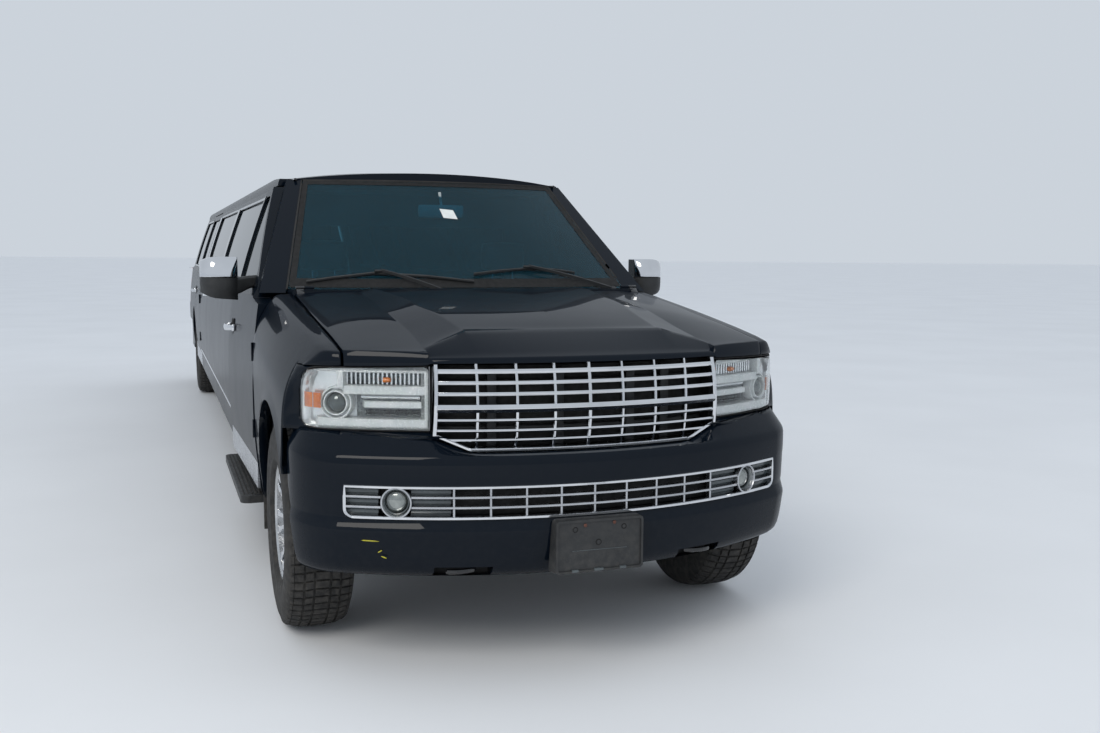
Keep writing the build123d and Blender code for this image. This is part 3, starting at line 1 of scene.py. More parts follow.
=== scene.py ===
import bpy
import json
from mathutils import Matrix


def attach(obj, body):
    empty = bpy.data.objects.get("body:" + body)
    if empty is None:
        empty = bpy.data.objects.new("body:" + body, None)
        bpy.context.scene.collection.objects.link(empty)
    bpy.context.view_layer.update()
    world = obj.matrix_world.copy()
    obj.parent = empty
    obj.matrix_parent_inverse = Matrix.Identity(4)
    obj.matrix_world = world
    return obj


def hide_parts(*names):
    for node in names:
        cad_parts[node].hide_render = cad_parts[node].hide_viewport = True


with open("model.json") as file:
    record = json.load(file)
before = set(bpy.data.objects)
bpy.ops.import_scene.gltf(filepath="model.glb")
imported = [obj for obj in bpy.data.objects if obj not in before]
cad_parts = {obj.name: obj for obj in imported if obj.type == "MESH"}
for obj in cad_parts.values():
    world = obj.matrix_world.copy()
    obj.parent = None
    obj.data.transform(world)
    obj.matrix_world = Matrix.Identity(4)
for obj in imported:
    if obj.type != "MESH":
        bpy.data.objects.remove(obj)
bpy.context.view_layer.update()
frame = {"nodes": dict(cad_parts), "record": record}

import bpy
import bmesh
import json
import math
from mathutils import Matrix, Vector

scene = bpy.context.scene
scene.view_settings.view_transform = "Standard"
nodes = frame["nodes"]

# Camera at the photograph's standpoint
view = {"place": (-1.4078, -8.3144, 1.4618), "yaw": 0.3465, "pitch": 0.1028, "roll": 0.0075, "lens": 36.13,
        "sensor": 36, "farthest": 200}


def makeCamera():
    yaw, pitch, roll = view["yaw"], view["pitch"], view["roll"]
    ahead = Vector((math.sin(yaw) * math.cos(pitch), math.cos(yaw) * math.cos(pitch), -math.sin(pitch)))
    right = Vector((math.cos(yaw), -math.sin(yaw), 0))
    up = right.cross(ahead)
    across = right * math.cos(roll) + up * math.sin(roll)
    above = up * math.cos(roll) - right * math.sin(roll)
    data = bpy.data.cameras.new("camera")
    data.lens = view["lens"]
    data.sensor_width = view["sensor"]
    data.clip_end = view["farthest"]
    camera = bpy.data.objects.new("camera", data)
    turn = Matrix((across, above, -ahead)).transposed().to_4x4()
    camera.matrix_world = Matrix.Translation(view["place"]) @ turn
    scene.collection.objects.link(camera)
    scene.camera = camera


makeCamera()

# Places shared by the pieces, in metres
car = {"nose": -4.9325, "bumper": -4.8875, "frontAxle": -3.9825, "rearAxle": 3.6125, "axle": 0.407,
       "arch": 0.480, "frontDoor": -3.3425, "ajar": 1.4, "hingeX": 1.001, "hingeAhead": 0.004}
doors = {"door_front": (car["frontDoor"], -2.1625), "door_rear": (2.2075, 3.3375)}


def behind(s):
    return car["nose"] + s


# Finishes: every one mixes two tones by a broad noise, varies its gloss and carries a fine relief
def look(name, color, second=None, rough=0.4, spread=0.08, metal=0.0, coat=0.0, patch=3.0, grain=0.15,
         grainSize=500.0, relief="noise", stretch=(1, 1, 1), dust=0.0, clear=0.0, ior=1.5, specular=0.5,
         coatRough=0.03, depth=0.001, sheen=0.0):
    mat = bpy.data.materials.new(name)
    mat.use_nodes = True
    tree = mat.node_tree
    shader = tree.nodes["Principled BSDF"]
    link = tree.links.new

    def add(kind, **values):
        node = tree.nodes.new(kind)
        for key, value in values.items():
            if hasattr(node, key):
                setattr(node, key, value)
            else:
                node.inputs[key].default_value = value
        return node

    def ramp(source, *limits):
        node = add("ShaderNodeMapRange")
        for key, value in zip(("From Min", "From Max", "To Min", "To Max"), limits):
            node.inputs[key].default_value = value
        link(source, node.inputs["Value"])
        return node.outputs["Result"]

    where = add("ShaderNodeTexCoord")
    turned = add("ShaderNodeMapping")
    turned.inputs["Scale"].default_value = stretch
    link(where.outputs["Object"], turned.inputs["Vector"])
    broad = add("ShaderNodeTexNoise", Scale=patch, Detail=5.0)
    link(turned.outputs["Vector"], broad.inputs["Vector"])
    tone = add("ShaderNodeMix", data_type="RGBA")
    tone.inputs["A"].default_value = (*color, 1)
    tone.inputs["B"].default_value = (*(second or [c * 0.7 for c in color]), 1)
    link(ramp(broad.outputs["Fac"], 0.35, 0.65), tone.inputs["Factor"])
    colour = tone.outputs["Result"]
    smudge = add("ShaderNodeTexNoise", Scale=patch * 4.3, Detail=6.0)
    link(turned.outputs["Vector"], smudge.inputs["Vector"])
    gloss = ramp(smudge.outputs["Fac"], 0.3, 0.7, max(0.0, rough - spread), rough + spread)
    link(gloss, shader.inputs["Roughness"])
    if dust:  # road dust lies low down
        split = add("ShaderNodeSeparateXYZ")
        link(where.outputs["Object"], split.inputs[0])
        speck = add("ShaderNodeTexNoise", Scale=38.0, Detail=8.0, Roughness=0.7)
        link(where.outputs["Object"], speck.inputs["Vector"])
        both = add("ShaderNodeMath", operation="MULTIPLY")
        link(ramp(split.outputs["Z"], 0.9, 0.25), both.inputs[0])
        link(ramp(speck.outputs["Fac"], 0.42, 0.75, 0.0, dust), both.inputs[1])
        dusty = add("ShaderNodeMix", data_type="RGBA")
        dusty.inputs["B"].default_value = (0.16, 0.145, 0.125, 1)
        link(both.outputs[0], dusty.inputs["Factor"])
        link(colour, dusty.inputs["A"])
        colour = dusty.outputs["Result"]
    link(colour, shader.inputs["Base Color"])
    if grain:
        if relief == "cells":
            fine = add("ShaderNodeTexVoronoi", feature="DISTANCE_TO_EDGE", Scale=grainSize)
            height = fine.outputs["Distance"]
        elif relief == "lines":
            fine = add("ShaderNodeTexWave", Scale=grainSize, Distortion=2.0, Detail=2.0)
            height = fine.outputs["Fac"]
        else:
            fine = add("ShaderNodeTexNoise", Scale=grainSize, Detail=3.0)
            height = fine.outputs["Fac"]
        link(turned.outputs["Vector"], fine.inputs["Vector"])
        bump = add("ShaderNodeBump", Strength=grain, Distance=depth)
        link(height, bump.inputs["Height"])
        link(bump.outputs["Normal"], shader.inputs["Normal"])
    for key, value in (("Metallic", metal), ("Coat Weight", coat), ("Coat Roughness", coatRough),
                       ("Specular IOR Level", specular), ("Transmission Weight", clear), ("IOR", ior),
                       ("Sheen Weight", sheen)):
        shader.inputs[key].default_value = value
    return mat


paint = look("blackPaint", (0.0024, 0.0050, 0.0095), (0.0030, 0.0060, 0.0110), 0.32, 0.02, coat=0.34, patch=0.8,
             grain=0.012, grainSize=900.0, dust=0.03, specular=0.04, coatRough=0.02, ior=1.15)
chrome = look("chromePlate", (0.74, 0.75, 0.77), (0.66, 0.67, 0.69), 0.07, 0.04, metal=1.0, patch=9.0,
              grain=0.02, grainSize=300.0)
satinTrim = look("satinTrim", (0.55, 0.56, 0.58), (0.46, 0.47, 0.49), 0.28, 0.06, metal=1.0, patch=9.0, grain=0.03)
tint = look("tintedGlass", (0.010, 0.014, 0.015), (0.007, 0.010, 0.011), 0.02, 0.015, coat=0.30, patch=2.0,
            grain=0.0, specular=0.20, coatRough=0.01, ior=1.12)
screenGlass = look("screenGlass", (0.09, 0.30, 0.40), (0.07, 0.26, 0.35), 0.015, 0.015, clear=0.93, patch=2.0,
                   grain=0.0, ior=1.18, specular=0.4)
lensClear = look("lampLens", (0.97, 0.98, 0.98), (0.90, 0.93, 0.92), 0.03, 0.03, clear=1.0, patch=18.0,
                 grain=0.0, ior=1.3)
mirrorBowl = look("lampBowl", (0.90, 0.91, 0.92), (0.80, 0.82, 0.84), 0.20, 0.05, metal=0.6, patch=30.0, grain=0.03)
whiteBand = look("lampWhite", (0.90, 0.91, 0.91), (0.82, 0.84, 0.85), 0.25, 0.05, metal=0.1, patch=30.0, grain=0.03)
amber = look("amberLens", (0.85, 0.22, 0.02), (0.70, 0.14, 0.01), 0.12, 0.04, coat=1.0, patch=40.0,
             grain=0.25, grainSize=260.0, relief="cells")
redLens = look("redLens", (0.34, 0.006, 0.008), (0.24, 0.004, 0.006), 0.10, 0.04, coat=1.0, patch=20.0,
               grain=0.25, grainSize=160.0, relief="cells")
grainBlack = look("grainedBlack", (0.014, 0.015, 0.016), (0.020, 0.021, 0.022), 0.52, 0.10, patch=7.0,
                  grain=0.35, grainSize=700.0, dust=0.22)
glossBlack = look("glossBlack", (0.004, 0.004, 0.005), (0.007, 0.007, 0.008), 0.18, 0.06, coat=0.6, patch=5.0,
                  grain=0.02)
# Matte near-black: the own colour of black trim, seals, seams, vents and cups, and painted shade where it fills the
# sheets behind the bumper's and grilles' openings and the bracket's holes
trimAndShadeBlack = look("blackTrimAndPaintedShade", (0.004, 0.004, 0.004), (0.007, 0.007, 0.007), 0.8, 0.1, patch=12.0, grain=0.2)
rubber = look("tyreRubber", (0.018, 0.018, 0.018), (0.030, 0.029, 0.028), 0.78, 0.10, patch=9.0, grain=0.3,
              grainSize=240.0, dust=0.35, specular=0.3)
alloy = look("rimAlloy", (0.62, 0.63, 0.64), (0.50, 0.50, 0.50), 0.22, 0.08, metal=1.0, patch=14.0, grain=0.05,
             dust=0.25)
castIron = look("castIron", (0.055, 0.055, 0.056), (0.075, 0.062, 0.052), 0.68, 0.12, metal=0.5, patch=16.0,
                grain=0.4, grainSize=300.0, dust=0.3)
frameBlack = look("chassisBlack", (0.016, 0.016, 0.016), (0.045, 0.035, 0.027), 0.55, 0.12, patch=5.0, grain=0.25,
                  grainSize=260.0, dust=0.35)
leather = look("blackLeather", (0.020, 0.019, 0.018), (0.028, 0.026, 0.025), 0.42, 0.08, patch=8.0, grain=0.5,
               grainSize=420.0, relief="cells", sheen=0.1)
veneer = look("darkVeneer", (0.10, 0.045, 0.018), (0.035, 0.014, 0.006), 0.25, 0.04, coat=0.8, patch=5.0,
              grain=0.05, grainSize=60.0, relief="lines", stretch=(6, 0.6, 6))
carpet = look("floorCarpet", (0.022, 0.021, 0.021), (0.036, 0.034, 0.033), 0.95, 0.04, patch=14.0, grain=0.8,
              grainSize=900.0, sheen=0.3)
paleGrey = look("blankSticker", (0.62, 0.66, 0.66), (0.52, 0.57, 0.57), 0.6, 0.05, patch=40.0, grain=0.05)
scuff = look("yellowScuff", (0.55, 0.50, 0.03), (0.30, 0.27, 0.03), 0.6, 0.1, patch=60.0, grain=0.3)
panelGrey = look("greyBlank", (0.07, 0.085, 0.09), (0.05, 0.06, 0.065), 0.32, 0.06, coat=0.3, patch=12.0,
                 grain=0.08, grainSize=500.0)
silverTin = look("tankSteel", (0.30, 0.30, 0.29), (0.20, 0.16, 0.12), 0.45, 0.1, metal=0.9, patch=6.0, grain=0.2,
                 grainSize=200.0)
dashGrey = look("dashGrey", (0.20, 0.21, 0.21), (0.15, 0.16, 0.16), 0.6, 0.08, patch=9.0, grain=0.3,
                grainSize=600.0, relief="cells")
mirrorGlass = look("mirrorGlass", (0.72, 0.75, 0.78), (0.66, 0.69, 0.72), 0.02, 0.01, metal=1.0, patch=6.0,
                   grain=0.0)
lampShade = look("lampShade", (0.20, 0.22, 0.23), (0.12, 0.13, 0.14), 0.30, 0.08, metal=0.7, patch=40.0,
                 grain=0.0)
projectorGlass = look("projectorGlass", (0.06, 0.075, 0.085), (0.14, 0.16, 0.15), 0.05, 0.02, metal=0.4,
                      coat=1.0, patch=22.0, grain=0.0)
slotLook = {"paint": paint, "chrome_trim": chrome, "glass": tint, "lamp": mirrorBowl, "red_lamp": redLens,
            "tyre": rubber, "alloy": alloy, "black_plastic": grainBlack, "iron": castIron,
            "frame_steel": frameBlack, "seat_leather": leather, "veneer": veneer}
slotOf = {part["node"]: part["material_slot"] for part in frame["record"]["subparts"]}
nodeLook = {"windshield": screenGlass, "dashboard": dashGrey, "floor_pan": carpet, "fuel_tank": frameBlack,
            "exhaust": silverTin}
for nodeName, nodeObject in nodes.items():
    nodeObject.data.materials.clear()
    nodeObject.data.materials.append(nodeLook.get(nodeName, slotLook[slotOf[nodeName]]))
print("finishes done")


# Mesh helpers
def place(at, turn=(0, 0, 0), size=(1, 1, 1)):
    turned = Matrix.Rotation(math.radians(turn[2]), 4, "Z") @ Matrix.Rotation(math.radians(turn[1]), 4, "Y")
    turned = turned @ Matrix.Rotation(math.radians(turn[0]), 4, "X")
    return Matrix.Translation(at) @ turned @ Matrix.Diagonal((*size, 1))


def soften(mesh, edges, width, segments=2):
    bmesh.ops.bevel(mesh, geom=edges, offset=width, segments=segments, affect="EDGES", profile=0.5, material=-1)


def addBlock(mesh, at, size, turn=(0, 0, 0), soft=0.0, segments=2):
    made = bmesh.ops.create_cube(mesh, size=1, matrix=place(at, turn, size))
    if soft:
        soften(mesh, list({e for v in made["verts"] for e in v.link_edges}), soft, segments)


def addRod(mesh, start, end, radius, endRadius=None, segments=20, soft=0.0):
    start, end = Vector(start), Vector(end)
    first = len(mesh.faces)
    turn = (end - start).to_track_quat("Z", "Y").to_matrix().to_4x4()
    bmesh.ops.create_cone(mesh, cap_ends=True, segments=segments, radius1=radius,
                          radius2=radius if endRadius is None else endRadius, depth=(end - start).length,
                          matrix=Matrix.Translation((start + end) / 2) @ turn)
    if soft:
        mesh.faces.ensure_lookup_table()
        soften(mesh, list({e for f in mesh.faces[first:] if len(f.verts) > 4 for e in f.edges}), soft)


def skin(columns, rows, put):
    mesh = bmesh.new()
    bmesh.ops.create_grid(mesh, x_segments=columns, y_segments=rows, size=0.5)
    for v in mesh.verts:
        v.co = put(round((v.co.x + 0.5) * columns), round((v.co.y + 0.5) * rows))
    return mesh


def sweep(mesh, rings):
    # Draws the first ring's face out through the other rings
    made = bmesh.ops.create_circle(mesh, cap_ends=True, segments=len(rings[0]), radius=1)
    for v, point in zip(made["verts"], rings[0]):
        v.co = point
    face = made["verts"][0].link_faces[0]
    ringVerts = made["verts"]
    for ring in rings[1:]:
        out = bmesh.ops.extrude_face_region(mesh, geom=[face])
        face = [g for g in out["geom"] if isinstance(g, bmesh.types.BMFace)][0]
        ordered = []
        for old in ringVerts:
            ordered.append(min(face.verts, key=lambda v: (v.co - old.co).length_squared))
        for v, point in zip(ordered, ring):
            v.co = point
        ringVerts = ordered


def drawn(mesh, edges):
    # Extrudes open edges and gives the new points and edges
    out = bmesh.ops.extrude_edge_only(mesh, edges=edges)["geom"]
    return [[g for g in out if isinstance(g, kind)] for kind in (bmesh.types.BMVert, bmesh.types.BMEdge)]


def join(mesh, other):
    # Adds another mesh to this one and frees it
    data = bpy.data.meshes.new("join")
    other.to_mesh(data)
    other.free()
    mesh.from_mesh(data)
    bpy.data.meshes.remove(data)


def halved(holds, steps):
    # The plan's w between 1 and 2 up to which a test holds
    low, high = 1.0, 2.0
    for step in range(steps):
        middle = (low + high) / 2
        low, high = (middle, high) if holds(middle) else (low, middle)
    return low


def faceOut(mesh, direction):
    # Turns an open skin so that it looks along a direction
    mesh.normal_update()
    total = Vector((0, 0, 0))
    for face in mesh.faces:
        total += face.normal * face.calc_area()
    if total.dot(Vector(direction)) < 0:
        bmesh.ops.reverse_faces(mesh, faces=mesh.faces)


# The front right door stands ajar, so what it carries is turned with it
pivot = Matrix.Translation((-car["hingeX"], car["frontDoor"] + car["hingeAhead"], 0))
ajarTurn = pivot @ Matrix.Rotation(math.radians(car["ajar"]), 4, "Z") @ pivot.inverted()


def finish(name, mesh, body, what, slot=None, instead=(), sharp=38, wall=0.0, open=False, merge=1e-5,
           bevel=0.0, subdivide=0, outside=-1.0):
    bmesh.ops.remove_doubles(mesh, verts=mesh.verts, dist=merge)
    if not open:
        bmesh.ops.recalc_face_normals(mesh, faces=mesh.faces)
    data = bpy.data.meshes.new(name)
    mesh.to_mesh(data)
    mesh.free()
    data.shade_smooth()
    data.set_sharp_from_angle(angle=math.radians(sharp))
    obj = bpy.data.objects.new(name, data)
    scene.collection.objects.link(obj)
    data.materials.append(what)
    if wall:
        solid = obj.modifiers.new("wall", "SOLIDIFY")
        solid.thickness = wall
        solid.offset = outside
        solid.use_even_offset = True
    if bevel:
        edge = obj.modifiers.new("edge", "BEVEL")
        edge.width = bevel
        edge.segments = 2
        edge.limit_method = "ANGLE"
        edge.angle_limit = math.radians(40)
    if subdivide:
        smooth = obj.modifiers.new("smooth", "SUBSURF")
        smooth.levels = subdivide
        smooth.render_levels = subdivide
    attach(obj, body)
    if instead:
        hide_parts(*instead)
    if body == "door_front_right":
        data.transform(ajarTurn)
    return obj


def between(table, value):
    # Straight-line reading of a table of (key, ...) rows
    if value <= table[0][0]:
        return table[0][1:]
    for a, b in zip(table, table[1:]):
        if value <= b[0]:
            t = (value - a[0]) / (b[0] - a[0])
            return tuple(p + t * (q - p) for p, q in zip(a[1:], b[1:]))
    return table[-1][1:]


def smoothly(table, value):
    # Reads the table on a smooth curve through its rows
    if value <= table[0][0] or value >= table[-1][0]:
        return between(table, value)
    k = max(i for i in range(len(table) - 1) if table[i][0] <= value)
    a, b = table[k], table[k + 1]
    before = table[k - 1] if k else a
    after = table[k + 2] if k + 2 < len(table) else b
    width = b[0] - a[0]
    t = (value - a[0]) / width
    out = []
    for n in range(1, len(a)):
        startSlope = (b[n] - before[n]) / (b[0] - before[0]) * width
        endSlope = (after[n] - a[n]) / (after[0] - a[0]) * width
        out.append((2 * t**3 - 3 * t**2 + 1) * a[n] + (t**3 - 2 * t**2 + t) * startSlope
                   + (3 * t**2 - 2 * t**3) * b[n] + (t**3 - t**2) * endSlope)
    return tuple(out)


def sideName(side):
    return "left" if side > 0 else "right"


# Side surface of the body: half width at a height
sideLine = [(0.360, 0.955), (0.395, 0.968), (0.500, 0.982), (0.660, 0.996), (0.820, 1.001), (1.000, 0.995),
            (1.120, 0.984), (1.255, 0.966), (1.288, 0.940)]


def sideX(z):
    if z <= 1.288:
        return between(sideLine, z)[0]
    t = min(1.0, (z - 1.288) / 0.504)
    return 0.940 - 0.166 * t + 0.032 * t * (1 - t)


# Plan of the nose, at an inset from the bumper's front
def circleThrough(a, b, c):
    d = 2 * (a[0] * (b[1] - c[1]) + b[0] * (c[1] - a[1]) + c[0] * (a[1] - b[1]))
    p, q, r = (v[0] ** 2 + v[1] ** 2 for v in (a, b, c))
    x = (p * (b[1] - c[1]) + q * (c[1] - a[1]) + r * (a[1] - b[1])) / d
    y = (p * (c[0] - b[0]) + q * (a[0] - c[0]) + r * (b[0] - a[0])) / d
    return x, y, math.dist((x, y), a)


def kneeAt(inset):
    return 0.850 - 0.45 * inset


def nosePlan(w, inset):
    # w runs from 0 at the middle to 1 at the knee and 2 at the end
    kneeX, kneeY = kneeAt(inset), 0.231 + 0.9 * inset
    side = 1 if w >= 0 else -1
    w = abs(w)
    if w <= 1:
        rise = kneeY - inset
        radius = (kneeX ** 2 + rise ** 2) / (2 * rise)
        x = w * kneeX
        return side * x, car["bumper"] + inset + radius - math.sqrt(radius ** 2 - x ** 2)
    corner = (0.925 - 0.35 * inset, 0.312 + 0.75 * inset)
    end = (0.975 - 0.4 * inset, 0.505)
    cx, cy, radius = circleThrough((kneeX, kneeY), corner, end)
    start = math.atan2(kneeY - cy, kneeX - cx)
    stop = math.atan2(end[1] - cy, end[0] - cx)
    angle = start + (w - 1) * (stop - start)
    return side * (cx + radius * math.cos(angle)), car["bumper"] + cy + radius * math.sin(angle)


def noseShare(x, inset):
    # The plan's w at a half width
    kneeX = kneeAt(inset)
    if abs(x) <= kneeX:
        return x / kneeX
    return math.copysign(halved(lambda w: nosePlan(w, inset)[0] < abs(x), 20), x)


def noseY(x, inset):
    return nosePlan(noseShare(x, inset), inset)[1]


# Front bumper: a skin through rows of (height, inset), with the lower grille's opening
bumper = {"rows": [(0.360, 0.078), (0.368, 0.056), (0.385, 0.034), (0.405, 0.022), (0.430, 0.014), (0.462, 0.007),
                   (0.495, 0.001), (0.518, -0.003), (0.529, -0.0045), (0.536, -0.004), (0.545, 0.0),
                   (0.558, 0.006), (0.570, 0.010), (0.574, 0.011), (0.5755, 0.011), (0.579, 0.011), (0.585, 0.010),
                   (0.593, 0.009), (0.604, 0.008), (0.630, 0.007), (0.656, 0.006), (0.683, 0.005), (0.700, 0.003),
                   (0.725, 0.002), (0.750, 0.002), (0.770, 0.003), (0.780, 0.006), (0.787, 0.011), (0.794, 0.018),
                   (0.806, 0.031), (0.822, 0.049), (0.840, 0.069), (0.8535, 0.084)],
          "openHalf": 0.822, "openLow": 0.574, "openHigh": 0.683, "openRound": 0.030, "openDeep": 0.050,
          "hookX": 0.445, "hookHalf": 0.088, "hookLow": 0.372, "hookHigh": 0.402, "grilleFoot": 0.786,
          "topAlongX": [(0, 0.786), (0.407, 0.786), (0.524, 0.838), (0.534, 0.8535)]}
openColumns, kneeColumns, cornerColumns = 26, 4, 16


def bumperEnd(z, inset):
    # The wheel arch cuts the skin's ends
    reach = car["arch"] ** 2 - (z - car["axle"]) ** 2
    if reach <= 0:
        return 2.0
    cut = car["frontAxle"] - math.sqrt(reach)
    if nosePlan(2, inset)[1] < cut:
        return 2.0
    return halved(lambda w: nosePlan(w, inset)[1] < cut, 24)


def makeBumper():
    half = openColumns + kneeColumns + cornerColumns

    def put(i, j):
        z, inset = bumper["rows"][j]
        side = 1 if i >= half else -1
        n = abs(i - half)
        edge = bumper["openHalf"]
        low, r = bumper["openLow"], bumper["openRound"]
        if low <= z < low + r:
            edge += math.sqrt(max(0.0, r ** 2 - (low + r - z) ** 2)) - r
        elif low - r <= z < low:
            edge -= r * (z - low + r) / r
        edge /= kneeAt(inset)
        if n <= openColumns:
            w = edge * n / openColumns
        elif n <= openColumns + kneeColumns:
            w = edge + (1 - edge) * (n - openColumns) / kneeColumns
        else:
            w = 1 + (bumperEnd(z, inset) - 1) * (n - openColumns - kneeColumns) / cornerColumns
        x, y = nosePlan(w, inset)
        foot = bumper["grilleFoot"]
        if z > foot:  # under the grille the top ends at the grille's foot
            top = between(bumper["topAlongX"], x)[0]
            z = foot + (z - foot) * (top - foot) / (bumper["rows"][-1][0] - foot)
        return Vector((side * x, y, z))

    mesh = skin(2 * half, len(bumper["rows"]) - 1, put)
    gone = []
    for face in mesh.faces:
        c = face.calc_center_median()
        zs = [v.co.z for v in face.verts]
        inOpening = min(zs) > bumper["openLow"] - 1e-4 and max(zs) < bumper["openHigh"] + 1e-4
        edge = bumper["openHalf"]
        if c.z < bumper["openLow"] + bumper["openRound"]:
            r = bumper["openRound"]
            edge += math.sqrt(max(0, r ** 2 - (bumper["openLow"] + r - c.z) ** 2)) - r
        inHook = abs(abs(c.x) - bumper["hookX"]) < bumper["hookHalf"]
        inHook = inHook and bumper["hookLow"] < c.z < bumper["hookHigh"]
        if (inOpening and abs(c.x) < edge) or inHook:
            gone.append(face)
    bmesh.ops.delete(mesh, geom=gone, context="FACES")
    bmesh.ops.remove_doubles(mesh, verts=mesh.verts, dist=1e-5)
    faceOut(mesh, (0, -1, 0))
    # The openings' walls run back from their edges
    rims = []
    for edge in mesh.edges:
        c = (edge.verts[0].co + edge.verts[1].co) / 2
        if edge.is_boundary and abs(c.x) < 0.83 and (0.57 < c.z < 0.69 or 0.366 < c.z < 0.41):
            rims.append(edge)
    for v in drawn(mesh, rims)[0]:
        v.co.y += bumper["openDeep"]
    # The foot turns back under the bumper, and the ends turn in at the wheel arches
    feet = [e for e in mesh.edges if e.is_boundary and max(v.co.z for v in e.verts) < 0.3605]
    for v in drawn(mesh, feet)[0]:
        v.co += Vector((-0.08 * v.co.x, 0.09, 0.006))
    ends = [e for e in mesh.edges if e.is_boundary and min(abs(v.co.x) for v in e.verts) > 0.90
            and max(v.co.z for v in e.verts) < 0.85]
    for v in drawn(mesh, ends)[0]:
        v.co.x -= math.copysign(0.035, v.co.x)
    return finish("bumperSkin", mesh, "body", paint, "paint", ["front_bumper"], open=True, wall=0.0035, sharp=50)


makeBumper()


def alongNose(x0, x1, steps, inset, deep, low, high, cut=0.002, ridge=0.0):
    # Rings of a bar along the nose: heights and insets may be functions of x
    rings = []
    for k in range(steps + 1):
        x = x0 + (x1 - x0) * k / steps
        a = low(x) if callable(low) else low
        b = high(x) if callable(high) else high
        near = inset(a, b) if callable(inset) else inset
        front, back = noseY(x, near), noseY(x, near + deep)
        if ridge:  # a wedge whose front edge stands out at mid height
            rings.append([(x, front, (a + b) / 2 - 0.001), (x, front + ridge, a), (x, back, a), (x, back, b),
                          (x, front + ridge, b), (x, front, (a + b) / 2 + 0.001)])
            continue
        rings.append([(x, front, a + cut), (x, front + cut, a), (x, back, a), (x, back, b), (x, front + cut, b),
                      (x, front, b - cut)])
    return rings


# Painted shade: a matte black sheet behind the bumper stands for the dark space seen through its openings; tow hooks
# sit in their openings
mesh = bmesh.new()
sweep(mesh, alongNose(-0.80, 0.80, 40, 0.085, 0.02, 0.366, 0.72))
finish("bumperBack", mesh, "body", trimAndShadeBlack, "black_plastic", sharp=30)
mesh = bmesh.new()
for side in (-1, 1):
    x = side * bumper["hookX"]
    y = noseY(x, 0.052)
    ring = []
    for k in range(13):
        angle = math.radians(-20 + 220 * k / 12)
        middle = Vector((x + 0.045 * math.cos(angle), y - 0.012 * math.sin(angle), 0.386))
        outward = Vector((math.cos(angle), -math.sin(angle) * 0.4, 0)).normalized()
        ring.append([middle + 0.009 * (outward * math.cos(b) + Vector((0, 0, 1)) * math.sin(b))
                     for b in (math.tau * n / 8 for n in range(8))])
    sweep(mesh, ring)
finish("towHooks", mesh, "body", glossBlack, "black_plastic")

# Upper grille: horizontal bars as (middle height, thickness), uprights between them
grille = {"bars": [(1.063, 0.015), (1.025, 0.012), (0.988, 0.012), (0.898, 0.011), (0.862, 0.011), (0.829, 0.009)],
          "middle": (0.939, 0.027), "half": 0.521, "foot": 0.795, "chamferX": 0.407, "chamferZ": 0.846,
          "uprights": (0.125, 0.256, 0.388), "deep": 0.026, "stubTop": 1.092}


def grilleInset(a, b):
    return 0.053 + 0.020 * (((a + b) / 2 - 0.9395) / 0.1335) ** 2


def grilleHalf(z):
    # Half width inside the side frames, which lean and turn in at the foot
    lean = 0.521 + 0.004 * (0.94 - z) / 0.13
    if z < grille["chamferZ"]:
        lean = min(lean, grille["chamferX"] + (z - grille["foot"]) / (grille["chamferZ"] - grille["foot"])
                   * (0.523 - grille["chamferX"]))
    return lean


mesh = bmesh.new()
for z, thick in grille["bars"] + [grille["middle"]]:
    half = grilleHalf(z)
    extra = 0.010 if thick > 0.02 else 0.0
    sweep(mesh, alongNose(-half, half, 28, grilleInset(z, z) - extra, grille["deep"] + extra, z - thick / 2,
                          z + thick / 2, 0.0025, ridge=0.009 if extra else 0.003))


def upright(mesh, x, low, high, width, inset=0.0, deep=0.024, steps=6):
    rings = []
    for k in range(steps + 1):
        z = low + (high - low) * k / steps
        y = noseY(x, grilleInset(z, z) + inset)
        w = width / 2
        rings.append([(x - w, y + 0.003, z), (x - w + 0.002, y, z), (x + w - 0.002, y, z), (x + w, y + 0.003, z),
                      (x + w, y + deep, z), (x - w, y + deep, z)])
    sweep(mesh, rings)


for side in (-1, 1):
    for x in grille["uprights"]:
        upright(mesh, side * x, grille["foot"], grille["stubTop"], 0.010, 0.002)
upright(mesh, 0.0, grille["foot"], grille["stubTop"], 0.012, 0.001)
finish("grilleBars", mesh, "body", chrome, "chrome_trim", ["grille"], sharp=30)
mesh = bmesh.new()
for side in (-1, 1):  # side frames, diagonals and the foot bar
    rings = []
    for z in (1.086, 1.05, 1.00, 0.95, 0.90, 0.87, grille["chamferZ"]):
        x = side * (grilleHalf(max(z, 0.8461)) + 0.002)
        y = noseY(x, grilleInset(z, z) - 0.004)
        rings.append([(x - 0.007, y + 0.003, z), (x - 0.004, y, z), (x + 0.004, y, z), (x + 0.007, y + 0.003, z),
                      (x + 0.007, y + 0.034, z), (x - 0.007, y + 0.034, z)])
    sweep(mesh, rings)
    x0, x1 = grille["chamferX"], grilleHalf(0.85)
    slope = (grille["chamferZ"] - grille["foot"]) / (x1 - x0)
    sweep(mesh, alongNose(side * x0, side * x1, 8, grilleInset(0.82, 0.82) - 0.004, 0.034,
                          lambda x: grille["foot"] - 0.006 + (abs(x) - x0) * slope,
                          lambda x: grille["foot"] + 0.006 + (abs(x) - x0) * slope, 0.0025))
sweep(mesh, alongNose(-grille["chamferX"], grille["chamferX"], 24, grilleInset(0.795, 0.795) - 0.004, 0.034,
                      grille["foot"] - 0.006, grille["foot"] + 0.006, 0.0025))
finish("grilleFrame", mesh, "body", chrome, "chrome_trim", sharp=30)
